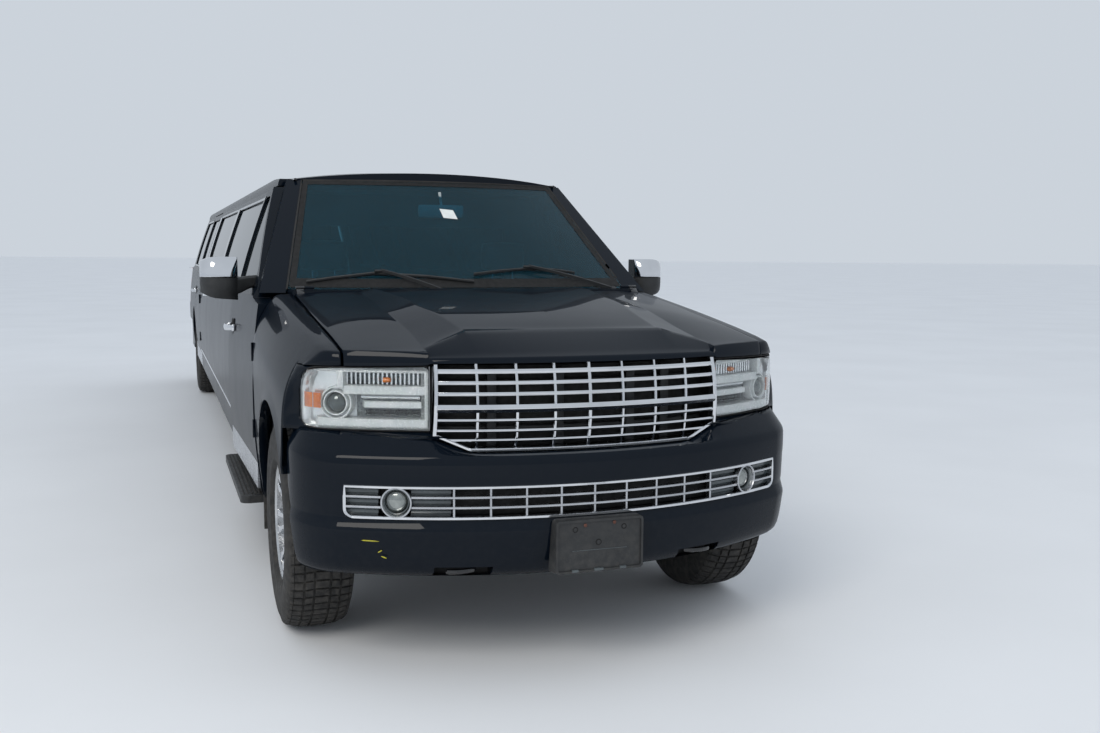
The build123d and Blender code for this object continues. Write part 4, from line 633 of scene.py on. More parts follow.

# Behind the grille: a matte black sheet with two side walls, painted shade for the dark space behind the bars, and
# black struts
mesh = bmesh.new()
sweep(mesh, alongNose(-0.52, 0.52, 20, 0.150, 0.02, 0.795, 1.078))
for side in (-1, 1):
    sweep(mesh, alongNose(side * 0.515, side * 0.527, 1, 0.085, 0.07, 0.845, 1.075))
finish("grilleShadeBox", mesh, "body", trimAndShadeBlack, "black_plastic")
mesh = bmesh.new()
for x in (-0.325, -0.09, 0.18, 0.325):
    addBlock(mesh, (x, noseY(x, 0.128), 0.935), (0.034, 0.016, 0.27), soft=0.004)
for z in (0.86, 1.02):
    sweep(mesh, alongNose(-0.50, 0.50, 16, 0.133, 0.01, z - 0.008, z + 0.008))
finish("grilleStruts", mesh, "body", grainBlack, "black_plastic", sharp=30)

# Lower grille: frame with rounded foot corners, two thin bars, uprights, fog lamps in rings
lowerGrille = {"half": 0.8195, "low": 0.5765, "high": 0.6805, "round": 0.028, "bars": (0.6460, 0.6115),
               "uprights": (0.0, 0.119, 0.238, 0.357, 0.476), "fogX": 0.661, "fogZ": 0.6285, "ring": 0.0505}


def onNose(x, inset, z):
    return Vector((x, noseY(x, inset), z))


mesh = bmesh.new()
edge, foot, top, r = (lowerGrille[k] for k in ("half", "low", "high", "round"))
path = []
for side in (1, -1):
    xs = [k * edge / 14 for k in range(1, 14)]
    run = [(0.0, top)] + [(x, top) for x in xs] + [(edge, top), (edge, top - 0.03), (edge, foot + r + 0.02)]
    run += [(edge - r + r * math.cos(a), foot + r - r * math.sin(a)) for a in (math.pi / 2 * n / 6 for n in range(7))]
    run += [(x, foot) for x in reversed(xs) if x < edge - r - 0.01] + [(0.0, foot)]
    path.append([(side * x, z) for x, z in run])
for run in path:
    rings = []
    for k, (x, z) in enumerate(run):
        a, b = run[max(0, k - 1)], run[min(len(run) - 1, k + 1)]
        ahead = Vector((b[0] - a[0], 0, b[1] - a[1])).normalized()
        inward = Vector((-ahead.z, 0, ahead.x))
        near, far = onNose(x, 0.0015, z), onNose(x, 0.028, z)
        w = 0.0055
        rings.append([near - inward * (w - 0.002), near - inward * w + Vector((0, 0.003, 0)), far - inward * w,
                      far + inward * w, near + inward * w + Vector((0, 0.003, 0)), near + inward * (w - 0.002)])
    sweep(mesh, rings)
finish("lowerGrilleFrame", mesh, "body", chrome, "chrome_trim", ["lower_grille"], sharp=30)
mesh = bmesh.new()
fog, ring = lowerGrille["fogX"], lowerGrille["ring"]
for z in lowerGrille["bars"]:
    reach = math.sqrt(ring ** 2 - (z - lowerGrille["fogZ"]) ** 2)
    sweep(mesh, alongNose(-fog + reach, fog - reach, 24, 0.004, 0.02, z - 0.0042, z + 0.0042, 0.002))
    for side in (-1, 1):
        sweep(mesh, alongNose(side * (fog + reach), side * (edge - 0.003), 5, 0.004, 0.02, z - 0.0042, z + 0.0042,
                              0.002))
for side in (-1, 1):
    for x in lowerGrille["uprights"]:
        if x or side > 0:
            addBlock(mesh, onNose(side * x, 0.017, 0.6285), (0.0075, 0.022, 0.104), soft=0.0015, segments=1,
                     turn=(0, 0, side * math.degrees(math.atan(x / 1.5))))
finish("lowerGrilleBars", mesh, "body", satinTrim, "chrome_trim", sharp=30)


def facing(x, inset, z):
    # A frame on the nose whose Z looks out of it
    here, there = onNose(x - 0.004, inset, z), onNose(x + 0.004, inset, z)
    along = (there - here).normalized()
    out = Vector((along.y, -along.x, 0))
    return Matrix.Translation(onNose(x, inset, z)) @ Matrix((along, Vector((0, 0, 1)), out)).transposed().to_4x4()


def spun(mesh, profile, matrix, steps=40):
    # Turns a profile of (radius, height) about its own axis and puts it at a matrix
    last = None
    verts, edges = [], []
    for radius, height in profile:
        v = mesh.verts.new((radius, 0, height))
        verts.append(v)
        if last:
            edges.append(mesh.edges.new((last, v)))
        last = v
    before = set(mesh.verts) - set(verts)
    bmesh.ops.spin(mesh, geom=verts + edges, cent=(0, 0, 0), axis=(0, 0, 1), angle=math.tau, steps=steps,
                   use_merge=True)
    new = [v for v in mesh.verts if v not in before]
    bmesh.ops.remove_doubles(mesh, verts=new, dist=1e-6)
    new = [v for v in mesh.verts if v not in before]
    bmesh.ops.transform(mesh, matrix=matrix, verts=new)


mesh = bmesh.new()
for side in (-1, 1):
    spun(mesh, [(0.0505, -0.022), (0.0535, -0.004), (0.0525, 0.002), (0.0475, 0.003), (0.0455, -0.002),
                (0.0435, -0.022), (0.0505, -0.022)], facing(side * fog, 0.004, lowerGrille["fogZ"]))
finish("fogRings", mesh, "body", satinTrim, "chrome_trim")
mesh = bmesh.new()
for side in (-1, 1):
    spun(mesh, [(0.0, 0.0), (0.012, -0.001), (0.024, -0.004), (0.033, -0.009), (0.0385, -0.016), (0.040, -0.024),
                (0.030, -0.034), (0.0, -0.036)], facing(side * fog, 0.016, lowerGrille["fogZ"]))
fogGlass = look("fogGlass", (0.36, 0.38, 0.36), (0.24, 0.26, 0.25), 0.14, 0.06, metal=0.75, coat=0.9, patch=34.0,
                grain=0.5, grainSize=55.0, relief="cells", coatRough=0.02)
finish("fogLenses", mesh, "body", fogGlass, "lamp")
mesh = bmesh.new()
for side in (-1, 1):
    spun(mesh, [(0.0395, -0.034), (0.0395, -0.012), (0.0435, -0.010), (0.0435, -0.034), (0.0395, -0.034)],
         facing(side * fog, 0.010, lowerGrille["fogZ"]))
    for x0, x1 in ((0.484, 0.610), (0.712, 0.817)):  # blanking panels beside the fog lamp, with a rib in each row
        sweep(mesh, alongNose(side * x0, side * x1, 6, 0.030, 0.012, 0.580, 0.677))
        for z in (0.5945, 0.629, 0.6635):
            sweep(mesh, alongNose(side * x0, side * x1, 4, 0.022, 0.01, z - 0.008, z + 0.008, 0.003))
finish("fogPanels", mesh, "body", panelGrey, "black_plastic", sharp=30)
# Painted shade: a matte black sheet behind the lower grille stands for the dark space in its opening
mesh = bmesh.new()
sweep(mesh, alongNose(-0.815, 0.815, 30, 0.052, 0.012, 0.578, 0.680))
finish("lowerGrilleBack", mesh, "body", trimAndShadeBlack, "black_plastic")
print("bumper and grilles done")

# Licence bracket: blank moulding with a rim, two screws, three holes, a slot line and clips
bracket = {"half": 0.160, "low": 0.386, "high": 0.569, "front": -4.932, "back": -4.8885}
mesh = bmesh.new()
middle = (bracket["low"] + bracket["high"]) / 2
addBlock(mesh, (0, (bracket["front"] + bracket["back"]) / 2, middle),
         (2 * bracket["half"], bracket["back"] - bracket["front"], bracket["high"] - bracket["low"]))
upEdges = [e for e in mesh.edges if abs((e.verts[0].co - e.verts[1].co).y) > 0.01]
soften(mesh, upEdges, 0.014, 4)
front = min(mesh.faces, key=lambda f: f.calc_center_median().y)
soften(mesh, list(front.edges), 0.003)
front = min((f for f in mesh.faces if len(f.verts) > 8), key=lambda f: f.calc_center_median().y)
bmesh.ops.inset_region(mesh, faces=[front], thickness=0.006)
front = min((f for f in mesh.faces if len(f.verts) > 8), key=lambda f: f.calc_center_median().y)
bmesh.ops.inset_region(mesh, faces=[front], thickness=0.0015, depth=-0.006)
for v in mesh.verts:  # the sides flare towards the bumper, most at the foot
    if v.co.y > bracket["back"] - 0.01:
        v.co.x += math.copysign(0.012 * (1 - (v.co.z - bracket["low"]) / 0.183), v.co.x)
finish("bracketPlate", mesh, "body", grainBlack, "black_plastic", ["plate_bracket"], sharp=35)
faceY = bracket["front"] + 0.0055
# Each hole is a raised rim round a shallow dish; the dish's matte black is painted shade for the hole's depth
mesh = bmesh.new()
for x, z, radius in ((-0.0889, 0.535, 0.0065), (0.0889, 0.535, 0.0065), (-0.004, 0.487, 0.0075)):
    at = Matrix.Translation((x, faceY, z)) @ Matrix.Rotation(math.radians(90), 4, "X")
    spun(mesh, [(0.0, -0.002), (radius, -0.002), (radius, 0.0005), (radius + 0.0025, 0.0012),
                (radius + 0.004, -0.001)], at, 20)
finish("bracketHoles", mesh, "body", trimAndShadeBlack, "black_plastic", open=True)
mesh = bmesh.new()
for x, z in ((-0.053, 0.548), (0.053, 0.552)):
    at = Matrix.Translation((x, faceY, z)) @ Matrix.Rotation(math.radians(90), 4, "X")
    spun(mesh, [(0.0, 0.004), (0.004, 0.0035), (0.0062, 0.0015), (0.0065, -0.001), (0.0, -0.001)], at, 16)
screwRust = look("rustedScrew", (0.16, 0.06, 0.04), (0.09, 0.05, 0.04), 0.55, 0.1, metal=0.5, patch=300.0)
finish("bracketScrews", mesh, "body", screwRust, "iron")
mesh = bmesh.new()
addBlock(mesh, (0.0, faceY - 0.0002, 0.462), (0.20, 0.0016, 0.0022), soft=0.0005, segments=1)
for x, wide in ((-0.09, 0.024), (-0.004, 0.034), (0.085, 0.024)):
    addBlock(mesh, (x, bracket["front"] + 0.003, 0.3935), (wide, 0.008, 0.010), soft=0.002)
finish("bracketClips", mesh, "body", panelGrey, "black_plastic", sharp=30)
mesh = bmesh.new()
for x, z, wide, turn in ((-0.742, 0.4985, 0.062, -2), (-0.712, 0.4625, 0.017, 30), (-0.700, 0.443, 0.02, -20)):
    at = facing(x, 0.003 if z < 0.48 else 0.0005, z) @ Matrix.Rotation(math.radians(turn), 4, "Z")
    bmesh.ops.create_circle(mesh, cap_ends=True, segments=14, radius=1,
                            matrix=at @ Matrix.Diagonal((wide / 2, 0.0022, 1, 1)))
finish("bumperScuffs", mesh, "body", scuff, "paint", open=True, wall=0.0012, outside=1.0)
print("bracket done")

# Hood: edge, plateau, flank foot and crown lines by distance behind the nose, each row (s, x, z) or (s, z)
hood = {"edge": [(0.100, 0.797, 1.104), (0.280, 0.800, 1.114), (0.372, 0.803, 1.129), (0.600, 0.808, 1.163),
                 (0.900, 0.815, 1.200), (1.230, 0.818, 1.240), (1.560, 0.820, 1.277)],
        "plateau": [(0.100, 0.372, 1.111), (0.352, 0.375, 1.175), (0.634, 0.396, 1.224), (0.827, 0.427, 1.249),
                    (1.027, 0.442, 1.271), (1.290, 0.476, 1.291), (1.560, 0.505, 1.306)],
        "foot": [(0.100, 0.545, 1.110), (0.281, 0.539, 1.131), (0.528, 0.534, 1.172), (0.700, 0.541, 1.202),
                 (0.866, 0.553, 1.226), (1.070, 0.552, 1.248), (1.255, 0.549, 1.265), (1.560, 0.552, 1.294)],
        "crown": [(0.100, 1.112), (0.375, 1.187), (0.600, 1.226), (0.900, 1.262), (1.230, 1.289), (1.560, 1.308)],
        "ridgeX": 0.375, "ridgeS": 0.352, "ridgeZ": 1.186, "creaseX": 0.539, "creaseS": 0.281, "creaseZ": 1.133,
        "frontZ": 1.108, "wall": 0.020, "flatShare": 0.40, "footShare": 0.66, "roll": 0.018}
lampLine = {"x": 0.535, "z": 1.0795, "fall": 0.0263, "gap": 0.003}
hoodRadius = (0.84 ** 2 + 0.252 ** 2) / (2 * 0.252)
rearRadius = (0.84 ** 2 + 0.13 ** 2) / (2 * 0.13)


def hoodFront(x):
    return 0.120 + hoodRadius - math.sqrt(hoodRadius ** 2 - x ** 2)


def hoodRear(x):
    return 1.410 + rearRadius - math.sqrt(rearRadius ** 2 - x ** 2)


def hoodPoint(share, s):
    # share runs from 0 at the middle over the plateau's edge and the flank's foot to 1 at the hood's edge
    flat, foot = hood["flatShare"], hood["footShare"]
    edgeX, edgeZ = smoothly(hood["edge"], s)
    flatX, flatZ = smoothly(hood["plateau"], s)
    footX, footZ = smoothly(hood["foot"], s)
    crown = smoothly(hood["crown"], s)[0]
    if share <= flat:
        x = flatX * share / flat
        z = flatZ + (crown - flatZ) * (1 - (x / flatX) ** 2)
    elif share <= foot:
        t = (share - flat) / (foot - flat)
        x = flatX + (footX - flatX) * t
        z = flatZ + (footZ - flatZ) * t
    else:
        t = (share - foot) / (1 - foot)
        x = footX + (edgeX - footX) * t
        z = footZ + (edgeZ - footZ) * t ** 1.25 + 0.014 * t * (1 - t)
    return x, z


shares = [0.0, 0.06, 0.12, 0.18, 0.24, 0.30, 0.35, 0.39, 0.40, 0.41, 0.44, 0.48, 0.52, 0.56, 0.60, 0.63, 0.652, 0.66,
          0.668, 0.69, 0.73, 0.78, 0.83, 0.88, 0.925, 0.96, 0.985, 1.0]
lipRows, frontRows, rearRows = 5, 6, 34


def lampTop(x):
    return lampLine["z"] - (x - lampLine["x"]) * lampLine["fall"]


def hoodRow(share, j):
    # Rows from the rolled front edge to the ridge, then back to the cowl
    if j < lipRows:
        x, s, z = hoodRow(share, lipRows)
        low = between([(0, 1.091), (0.530, 1.089)] + [(a, lampTop(a) + lampLine["gap"]) for a in (0.548, 0.84)], x)[0]
        t = math.radians(90 * j / lipRows)
        return x, s - hood["roll"] * math.cos(t), low + (z - low) * math.sin(t)
    j -= lipRows
    s = 0.9
    for step in range(4):
        x = hoodPoint(share, s)[0]
        first, last = hoodFront(x) + hood["roll"], hoodRear(x)
        if x <= hood["ridgeX"]:
            ridge, ridgeZ = hood["ridgeS"] + 0.006 * (1 - (x / hood["ridgeX"]) ** 2), hood["ridgeZ"]
        else:
            t = min(1.0, (x - hood["ridgeX"]) / (hood["creaseX"] - hood["ridgeX"]))
            ridge = hood["ridgeS"] + (hood["creaseS"] - hood["ridgeS"]) * t
            ridgeZ = hood["ridgeZ"] + (hood["creaseZ"] - hood["ridgeZ"]) * t
        ridge = max(ridge, first + 0.012)
        if j <= frontRows:
            s = first + (ridge - first) * j / frontRows
        else:
            s = ridge + (last - ridge) * ((j - frontRows) / rearRows) ** 1.15
    x, z = hoodPoint(share, s)
    if x < hood["creaseX"]:
        frontZ = hood["frontZ"] + 0.004 * (1 - (x / hood["creaseX"]) ** 2)
        if j <= frontRows:
            t = j / frontRows
            z = frontZ + (ridgeZ - frontZ) * (0.85 * t + 0.15 * math.sin(math.pi * t / 2))
        else:
            fade = math.exp(-(s - ridge) / 0.05)
            z = z * (1 - fade) + fade * (ridgeZ + 0.12 * (s - ridge))
    return x, s, z


def makeHood():
    half, rows = len(shares) - 1, lipRows + frontRows + rearRows
    table = {(n, j): hoodRow(shares[n], j) for n in range(half + 1) for j in range(rows + 1)}

    def put(i, j):
        side = 1 if i >= half else -1
        x, s, z = table[abs(i - half), j]
        return Vector((side * x, behind(s), z))

    mesh = skin(2 * half, rows, put)
    faceOut(mesh, (0, 0, 1))
    return finish("hoodPanel", mesh, "hood", paint, "paint", ["hood"], open=True, wall=hood["wall"], sharp=24,
                  bevel=0.0015)


makeHood()

# Under the hood: a pressed frame with ribs, and the two hinge leaves
mesh = bmesh.new()
for x0, x1, s0, s1, z0, z1 in ((-0.70, 0.70, 0.42, 0.50, 1.105, 1.120), (-0.70, 0.70, 1.34, 1.42, 1.225, 1.236),
                               (-0.74, -0.66, 0.46, 1.40, 1.098, 1.215), (0.66, 0.74, 0.46, 1.40, 1.098, 1.215),
                               (-0.04, 0.04, 0.48, 1.36, 1.140, 1.238)):
    corners = [(x0, s0, z0), (x1, s0, z0), (x1, s1, z1), (x0, s1, z1)]
    flat = bmesh.ops.create_grid(mesh, x_segments=1, y_segments=1, size=1)["verts"]
    flat.sort(key=lambda v: (v.co.y, v.co.x))
    for v, (x, s, z) in zip(flat, (corners[0], corners[1], corners[3], corners[2])):
        v.co = (x, behind(s), z)
    lifted = bmesh.ops.extrude_face_region(mesh, geom=list(flat[0].link_faces))
    for v in [g for g in lifted["geom"] if isinstance(g, bmesh.types.BMVert)]:
        v.co.z += 0.028
soften(mesh, mesh.edges[:], 0.006)
finish("hoodFrame", mesh, "hood", glossBlack, "paint", sharp=40)
mesh = bmesh.new()
for side in (-1, 1):
    axis = Vector((side * 0.795, behind(1.552), 1.300))
    addRod(mesh, axis - Vector((0.0197, 0, 0)), axis + Vector((0.0197, 0, 0)), 0.007, soft=0.001)
    addBlock(mesh, (side * 0.795, behind(1.523), 1.274), (0.034, 0.064, 0.010), turn=(38, 0, 0), soft=0.003)
finish("hoodHingeLeaves", mesh, "hood", glossBlack, "paint")

# Fenders: sections by distance behind the nose, cut by the wheel arch and, in front, by the lamp
fender = {"sections": [(0.300, 0.808, 1.106, 0.866, 1.092, 0.938, 0.940),
                       (0.500, 0.815, 1.146, 0.882, 1.128, 0.964, 0.985),
                       (1.000, 0.824, 1.208, 0.902, 1.190, 0.988, 1.035),
                       (1.5897, 0.829, 1.274, 0.908, 1.256, 0.990, 1.085)],
          "foot": 0.396, "lampTop": 1.080, "split": 0.552, "end": 1.5895, "flare": 0.006, "lip": 0.032,
          "axle": 0.95, "archEnd": 1.43, "last": 4.4, "samples": 60}
sampled = {}


def fenderSection(s):
    key = round(s, 5)
    if key in sampled:
        return sampled[key]
    shutX, shutZ, shoulderX, shoulderZ, sideX0, sideZ0 = smoothly(fender["sections"], s)
    wide = 1.001 - (1.001 - sideX0) * 0.3
    points = [(0, shutX, shutZ), (0.55, shoulderX, shoulderZ), (1.55, sideX0, sideZ0), (2.6, wide, 0.82),
              (3.5, (wide + 0.972) / 2 + 0.004, 0.60), (4.4, 0.968 - (1.001 - wide) * 0.5, fender["foot"])]
    curve = [smoothly(points, fender["last"] * k / fender["samples"]) for k in range(fender["samples"] + 1)]
    sampled[key] = curve
    return curve


def fenderAt(s, t):
    curve, n = fenderSection(s), fender["samples"]
    k = min(n - 1, int(t * n))
    f = t * n - k
    return tuple(a + (b - a) * f for a, b in zip(curve[k], curve[k + 1]))


def shareAtHeight(s, z):
    curve, n = fenderSection(s), fender["samples"]
    for k in range(n):
        if curve[k + 1][1] <= z <= curve[k][1]:
            return (k + (curve[k][1] - z) / (curve[k][1] - curve[k + 1][1])) / n
    return 1.0


def lampCut(s):
    t = 0.3
    for step in range(5):
        x = fenderAt(s, t)[0]
        t = shareAtHeight(s, fender["lampTop"] - (x - lampLine["x"]) * lampLine["fall"])
    return t


def makeFender(side):
    topColumns, lowColumns = 16, 20
    arch, axle = car["arch"], car["axle"]

    def frontS(t):
        s = 0.4
        for step in range(4):
            s = noseY(fenderAt(s, t)[0], 0.092) - car["nose"]
        return s

    split = fender["split"]

    def putFront(i, j):
        if j < 4:  # the front edge rolls down to the lamp
            v = putFront(i, 4)
            low = min(v.z, lampTop(abs(v.x)) + lampLine["gap"])
            t = math.radians(90 * j / 4)
            return Vector((v.x, v.y - hood["roll"] * math.cos(t), low + (v.z - low) * math.sin(t)))
        s = split
        share = lampCut(s) * i / topColumns
        for step in range(3):
            start = frontS(share) + hood["roll"]
            s = start + (split - start) * (j - 4) / 10
            share = lampCut(s) * i / topColumns
        x, z = fenderAt(s, share)
        return Vector((side * x, behind(s), z))

    front = skin(topColumns, 14, putFront)
    angles = 34
    middle, archEnd = fender["axle"], fender["archEnd"]
    startAngle = math.degrees(math.asin((split - middle) / arch))
    rows = [(middle + arch * math.sin(math.radians(startAngle + (90 - startAngle) * k / angles)), None)
            for k in range(angles + 1)]
    rows += [(archEnd + (fender["end"] - archEnd) * k / 5, fender["foot"]) for k in range(1, 6)]

    def putMain(i, j):
        s, low = rows[j]
        if low is None:
            low = axle + math.sqrt(max(0.0, arch ** 2 - (s - middle) ** 2))
        if j == 0:
            top = lampCut(split)
        else:
            top = min(lampCut(s), shareAtHeight(s, low) * 0.8)
        bottom = shareAtHeight(s, low) if low > fender["foot"] + 0.002 else 1.0
        if i <= topColumns:
            share = top * i / topColumns
        else:
            share = top + (bottom - top) * ((i - topColumns) / lowColumns) ** 0.9
        x, z = fenderAt(s, share)
        away = math.hypot(s - middle, z - axle) - arch
        if s <= archEnd:
            x += fender["flare"] * max(0.0, 1 - away / 0.055) ** 1.5
        return Vector((side * x, behind(s), z))

    mesh = skin(topColumns + lowColumns, len(rows) - 1, putMain)
    join(mesh, front)
    bmesh.ops.remove_doubles(mesh, verts=mesh.verts, dist=2e-4)
    faceOut(mesh, (side, 0, 0.3))
    # The arch's edge folds inwards
    rim = []
    for e in mesh.edges:
        if e.is_boundary:
            far = [math.hypot(v.co.y - car["frontAxle"], v.co.z - axle) for v in e.verts]
            if max(far) < arch + 0.004:
                rim.append(e)
    for reach in (0.010, fender["lip"]):
        points, rim = drawn(mesh, rim)
        for v in points:
            v.co.x -= side * reach
    name = sideName(side)
    return finish(f"fenderPanel_{name}", mesh, "body", paint, "paint", [f"fender_{name}"], open=True, wall=0.004,
                  sharp=40, merge=2e-4)


for side in (1, -1):
    makeFender(side)
print("hood and fenders done")

# Headlamps: a clear cover along the nose over a bright bowl with bands, reflectors, a projector and amber parts
headlamp = {"inner": 0.5365, "outer": 0.9305, "low": 0.858, "high": 1.0745, "inset": 0.0925,
            "deep": 0.062, "round": 0.125, "projectorX": 0.822, "projectorZ": 0.9445, "flutes": 17,
            "bands": [(0.542, 0.895, 0.010, 0.045, 1.052, 1.060), (0.542, 0.800, 0.012, 0.045, 0.977, 1.007),
                      (0.542, 0.880, 0.010, 0.045, 0.866, 0.894), (0.540, 0.550, 0.010, 0.050, 0.890, 1.055),
                      (0.556, 0.735, 0.020, 0.030, 0.931, 0.953)]}


def lampEdge(x):
    # Lowest and highest point of the lamp's outline at a half width
    high = headlamp["high"] - (x - headlamp["inner"]) * lampLine["fall"]
    low = headlamp["low"]
    w, end = noseShare(x, headlamp["inset"]), noseShare(headlamp["outer"], headlamp["inset"])
    toEnd = max(0.0, (end - w) * 0.30)
    for reach, drop, top in ((headlamp["round"], 0.072, True), (0.060, 0.024, False)):
        if toEnd < reach:
            bend = drop * (1 - math.sqrt(max(0.0, 1 - (1 - toEnd / reach) ** 2)))
            high, low = (high - bend, low) if top else (high, low + bend)
    return low, high


def lampShell(side, inset, lift, rimInset, steps=40, rows=14):
    end = noseShare(headlamp["outer"], headlamp["inset"])
    start = noseShare(headlamp["inner"], headlamp["inset"])

    def put(i, j):
        w = start + (end - start) * i / steps
        x = nosePlan(w, headlamp["inset"])[0]
        low, high = lampEdge(x)
        z = low + (high - low) * j / rows
        rim = min(i, steps - i, j, rows - j)
        near = rimInset if rim == 0 else inset - lift * math.sin(math.pi * j / rows)
        px, py = nosePlan(w, near)
        return Vector((side * px, py, z))

    return skin(steps, rows, put)


def lampBar(mesh, x0, x1, steps, inset, deep, low, high, cut):
    # A bar inside the lamp of the side that is being made
    sweep(mesh, alongNose(side * x0, side * x1, steps, lampInset + inset, deep, low, high, cut))


lampInset = headlamp["inset"]
for side in (1, -1):
    name = sideName(side)
    mesh = lampShell(side, headlamp["inset"] - 0.001, 0.004, headlamp["inset"] + 0.004)
    faceOut(mesh, (side, -1, 0))
    finish(f"lampCover_{name}", mesh, "body", lensClear, "lamp", open=True, wall=0.003, sharp=60)
    mesh = lampShell(side, headlamp["inset"] + headlamp["deep"], 0.0, headlamp["inset"] + 0.010)
    faceOut(mesh, (side, -1, 0))
    finish(f"lampBowl_{name}", mesh, "body", mirrorBowl, "lamp", ["headlamps"], open=True, wall=0.003, sharp=30)

    mesh = bmesh.new()  # white bands: above, between and below the two reflectors, and the upright
    for x0, x1, near, deep, low, high in headlamp["bands"]:
        lampBar(mesh, x0, x1, 12, near, deep, low, high, 0.003)
    at = onNose(side * 0.803, lampInset + 0.03, 1.028)
    addBlock(mesh, at, (0.024, 0.04, 0.060), turn=(0, 0, side * 30), soft=0.005)
    projectorAt = facing(side * headlamp["projectorX"], lampInset + 0.030, headlamp["projectorZ"])
    for inner, outer, lift in ((0.037, 0.044, 0.006), (0.050, 0.058, 0.000)):  # rings round the projector
        spun(mesh, [(inner, -0.03), (inner, lift), (inner + 0.002, lift + 0.004), (outer - 0.002, lift + 0.004),
                    (outer, lift), (outer, -0.03), (inner, -0.03)], projectorAt)
    finish(f"lampBands_{name}", mesh, "body", whiteBand, "lamp", sharp=30)

    mesh = bmesh.new()  # fluted reflector above, stepped reflector below
    for n in range(headlamp["flutes"]):
        x = 0.553 + (0.790 - 0.553) * (n + 0.5) / headlamp["flutes"]
        at = facing(side * x, lampInset + 0.048, 1.030)
        bmesh.ops.create_cone(mesh, cap_ends=True, segments=10, radius1=0.0046, radius2=0.0046, depth=0.044,
                              matrix=at @ Matrix.Rotation(math.radians(90), 4, "X"))
    lampBar(mesh, 0.556, 0.742, 10, 0.040, 0.012, 0.957, 0.975, 0.006)
    finish(f"lampReflectors_{name}", mesh, "body", chrome, "lamp", sharp=50)

    mesh = bmesh.new()  # dark backs of the flutes, of the capsule and of its dotted strip
    lampBar(mesh, 0.551, 0.792, 10, 0.0545, 0.004, 1.008, 1.051, 0.001)
    lampBar(mesh, 0.551, 0.752, 10, 0.050, 0.006, 0.898, 0.976, 0.001)
    for n in range(24):
        for z in (0.906, 0.917):
            at = facing(side * (0.560 + 0.0072 * n), lampInset + 0.044, z)
            bmesh.ops.create_icosphere(mesh, subdivisions=1, radius=0.0042, matrix=at)
    finish(f"lampShades_{name}", mesh, "body", lampShade, "lamp", sharp=50)

    mesh = bmesh.new()
    spun(mesh, [(0.0, 0.013), (0.013, 0.0115), (0.024, 0.007), (0.033, -0.002), (0.0365, -0.012), (0.0, -0.014)],
         projectorAt, 32)
    finish(f"lampProjector_{name}", mesh, "body", projectorGlass, "lamp")

    mesh = bmesh.new()  # amber bulb above and the amber reflector round the corner
    at = facing(side * 0.662, lampInset + 0.036, 1.026) @ Matrix.Rotation(math.radians(90), 4, "Y")
    spun(mesh, [(0.0, 0.016), (0.006, 0.014), (0.009, 0.007), (0.009, -0.012), (0.0, -0.013)], at, 18)
    for x0, x1 in ((0.872, 0.893), (0.896, 0.917)):
        lampBar(mesh, x0, x1, 6, 0.0065, 0.010, 0.926, 0.978, 0.003)
    finish(f"lampAmber_{name}", mesh, "body", amber, "lamp", sharp=40)

    mesh = bmesh.new()  # dark seal round the cover
    loop = []
    for k in range(21):
        x = headlamp["inner"] + (headlamp["outer"] - headlamp["inner"]) * k / 20
        loop.append((x, lampEdge(x)[0] - 0.0015))
    loop += [(x, lampEdge(x)[1] + 0.0025) for x, z in reversed(loop)]
    loop.append(loop[0])
    rings = []
    for k, (x, z) in enumerate(loop):
        centre = onNose(side * x, lampInset + 0.003, z)
        rings.append([centre + Vector((0, 0.003 * math.cos(a), 0.0028 * math.sin(a))) for a in
                      (math.tau * n / 6 for n in range(6))])
    sweep(mesh, rings)
    finish(f"lampSeal_{name}", mesh, "body", trimAndShadeBlack, "black_plastic")

    # Painted corner between the lamp's end and the fender
    def lampEnd(z):
        x = headlamp["outer"]
        while x > 0.85 and not lampEdge(x)[0] - 0.002 < z < lampEdge(x)[1] + 0.003:
            x -= 0.004
        return x

    def putCorner(i, j):
        z = 0.842 + (1.068 - 0.842) * j / 16
        near = onNose(side * (lampEnd(z) + 0.001), headlamp["inset"] + 0.0015, z)
        share = shareAtHeight(fender["split"], z)
        far = Vector((side * (fenderAt(fender["split"], share)[0] + 0.0005), behind(fender["split"]), z))
        mid = onNose(side * headlamp["outer"], headlamp["inset"], z)
        mid = mid + Vector((side * 0.019, 0.020, 0))
        t = i / 8
        return near * (1 - t) ** 2 + mid * (2 * t * (1 - t)) + far * t ** 2

    mesh = skin(8, 16, putCorner)
    faceOut(mesh, (side, -1, 0))
    finish(f"fenderCorner_{name}", mesh, "body", paint, "paint", open=True, wall=0.003, sharp=50)
print("headlamps done")

# Wheels: a tyre with five rows of blocks and a seven-spoke rim, made at the origin with the axle along X
wheel = {"radius": 0.407, "lugs": 66, "groove": 0.008, "spokes": 7, "nuts": 6,
         "centres": {"front_left": (0.851, car["frontAxle"]), "front_right": (-0.851, car["frontAxle"]),
                     "rear_left": (0.8535, car["rearAxle"]), "rear_right": (-0.8535, car["rearAxle"])}}
wallLine = [(-0.104, 0.229), (-0.112, 0.236), (-0.119, 0.245), (-0.1215, 0.250), (-0.1200, 0.254),
            (-0.1250, 0.285), (-0.1275, 0.312), (-0.1265, 0.335), (-0.1225, 0.357), (-0.1190, 0.366),
            (-0.1110, 0.381), (-0.1000, 0.3895)]
ribs = [(-0.1000, -0.0690), (-0.0610, -0.0330), (-0.0250, 0.0250), (0.0330, 0.0610), (0.0690, 0.1000)]


def crownAt(x):
    return wheel["radius"] - 0.0035 * (x / 0.07) ** 2 - (0.006 if abs(x) > 0.09 else 0)


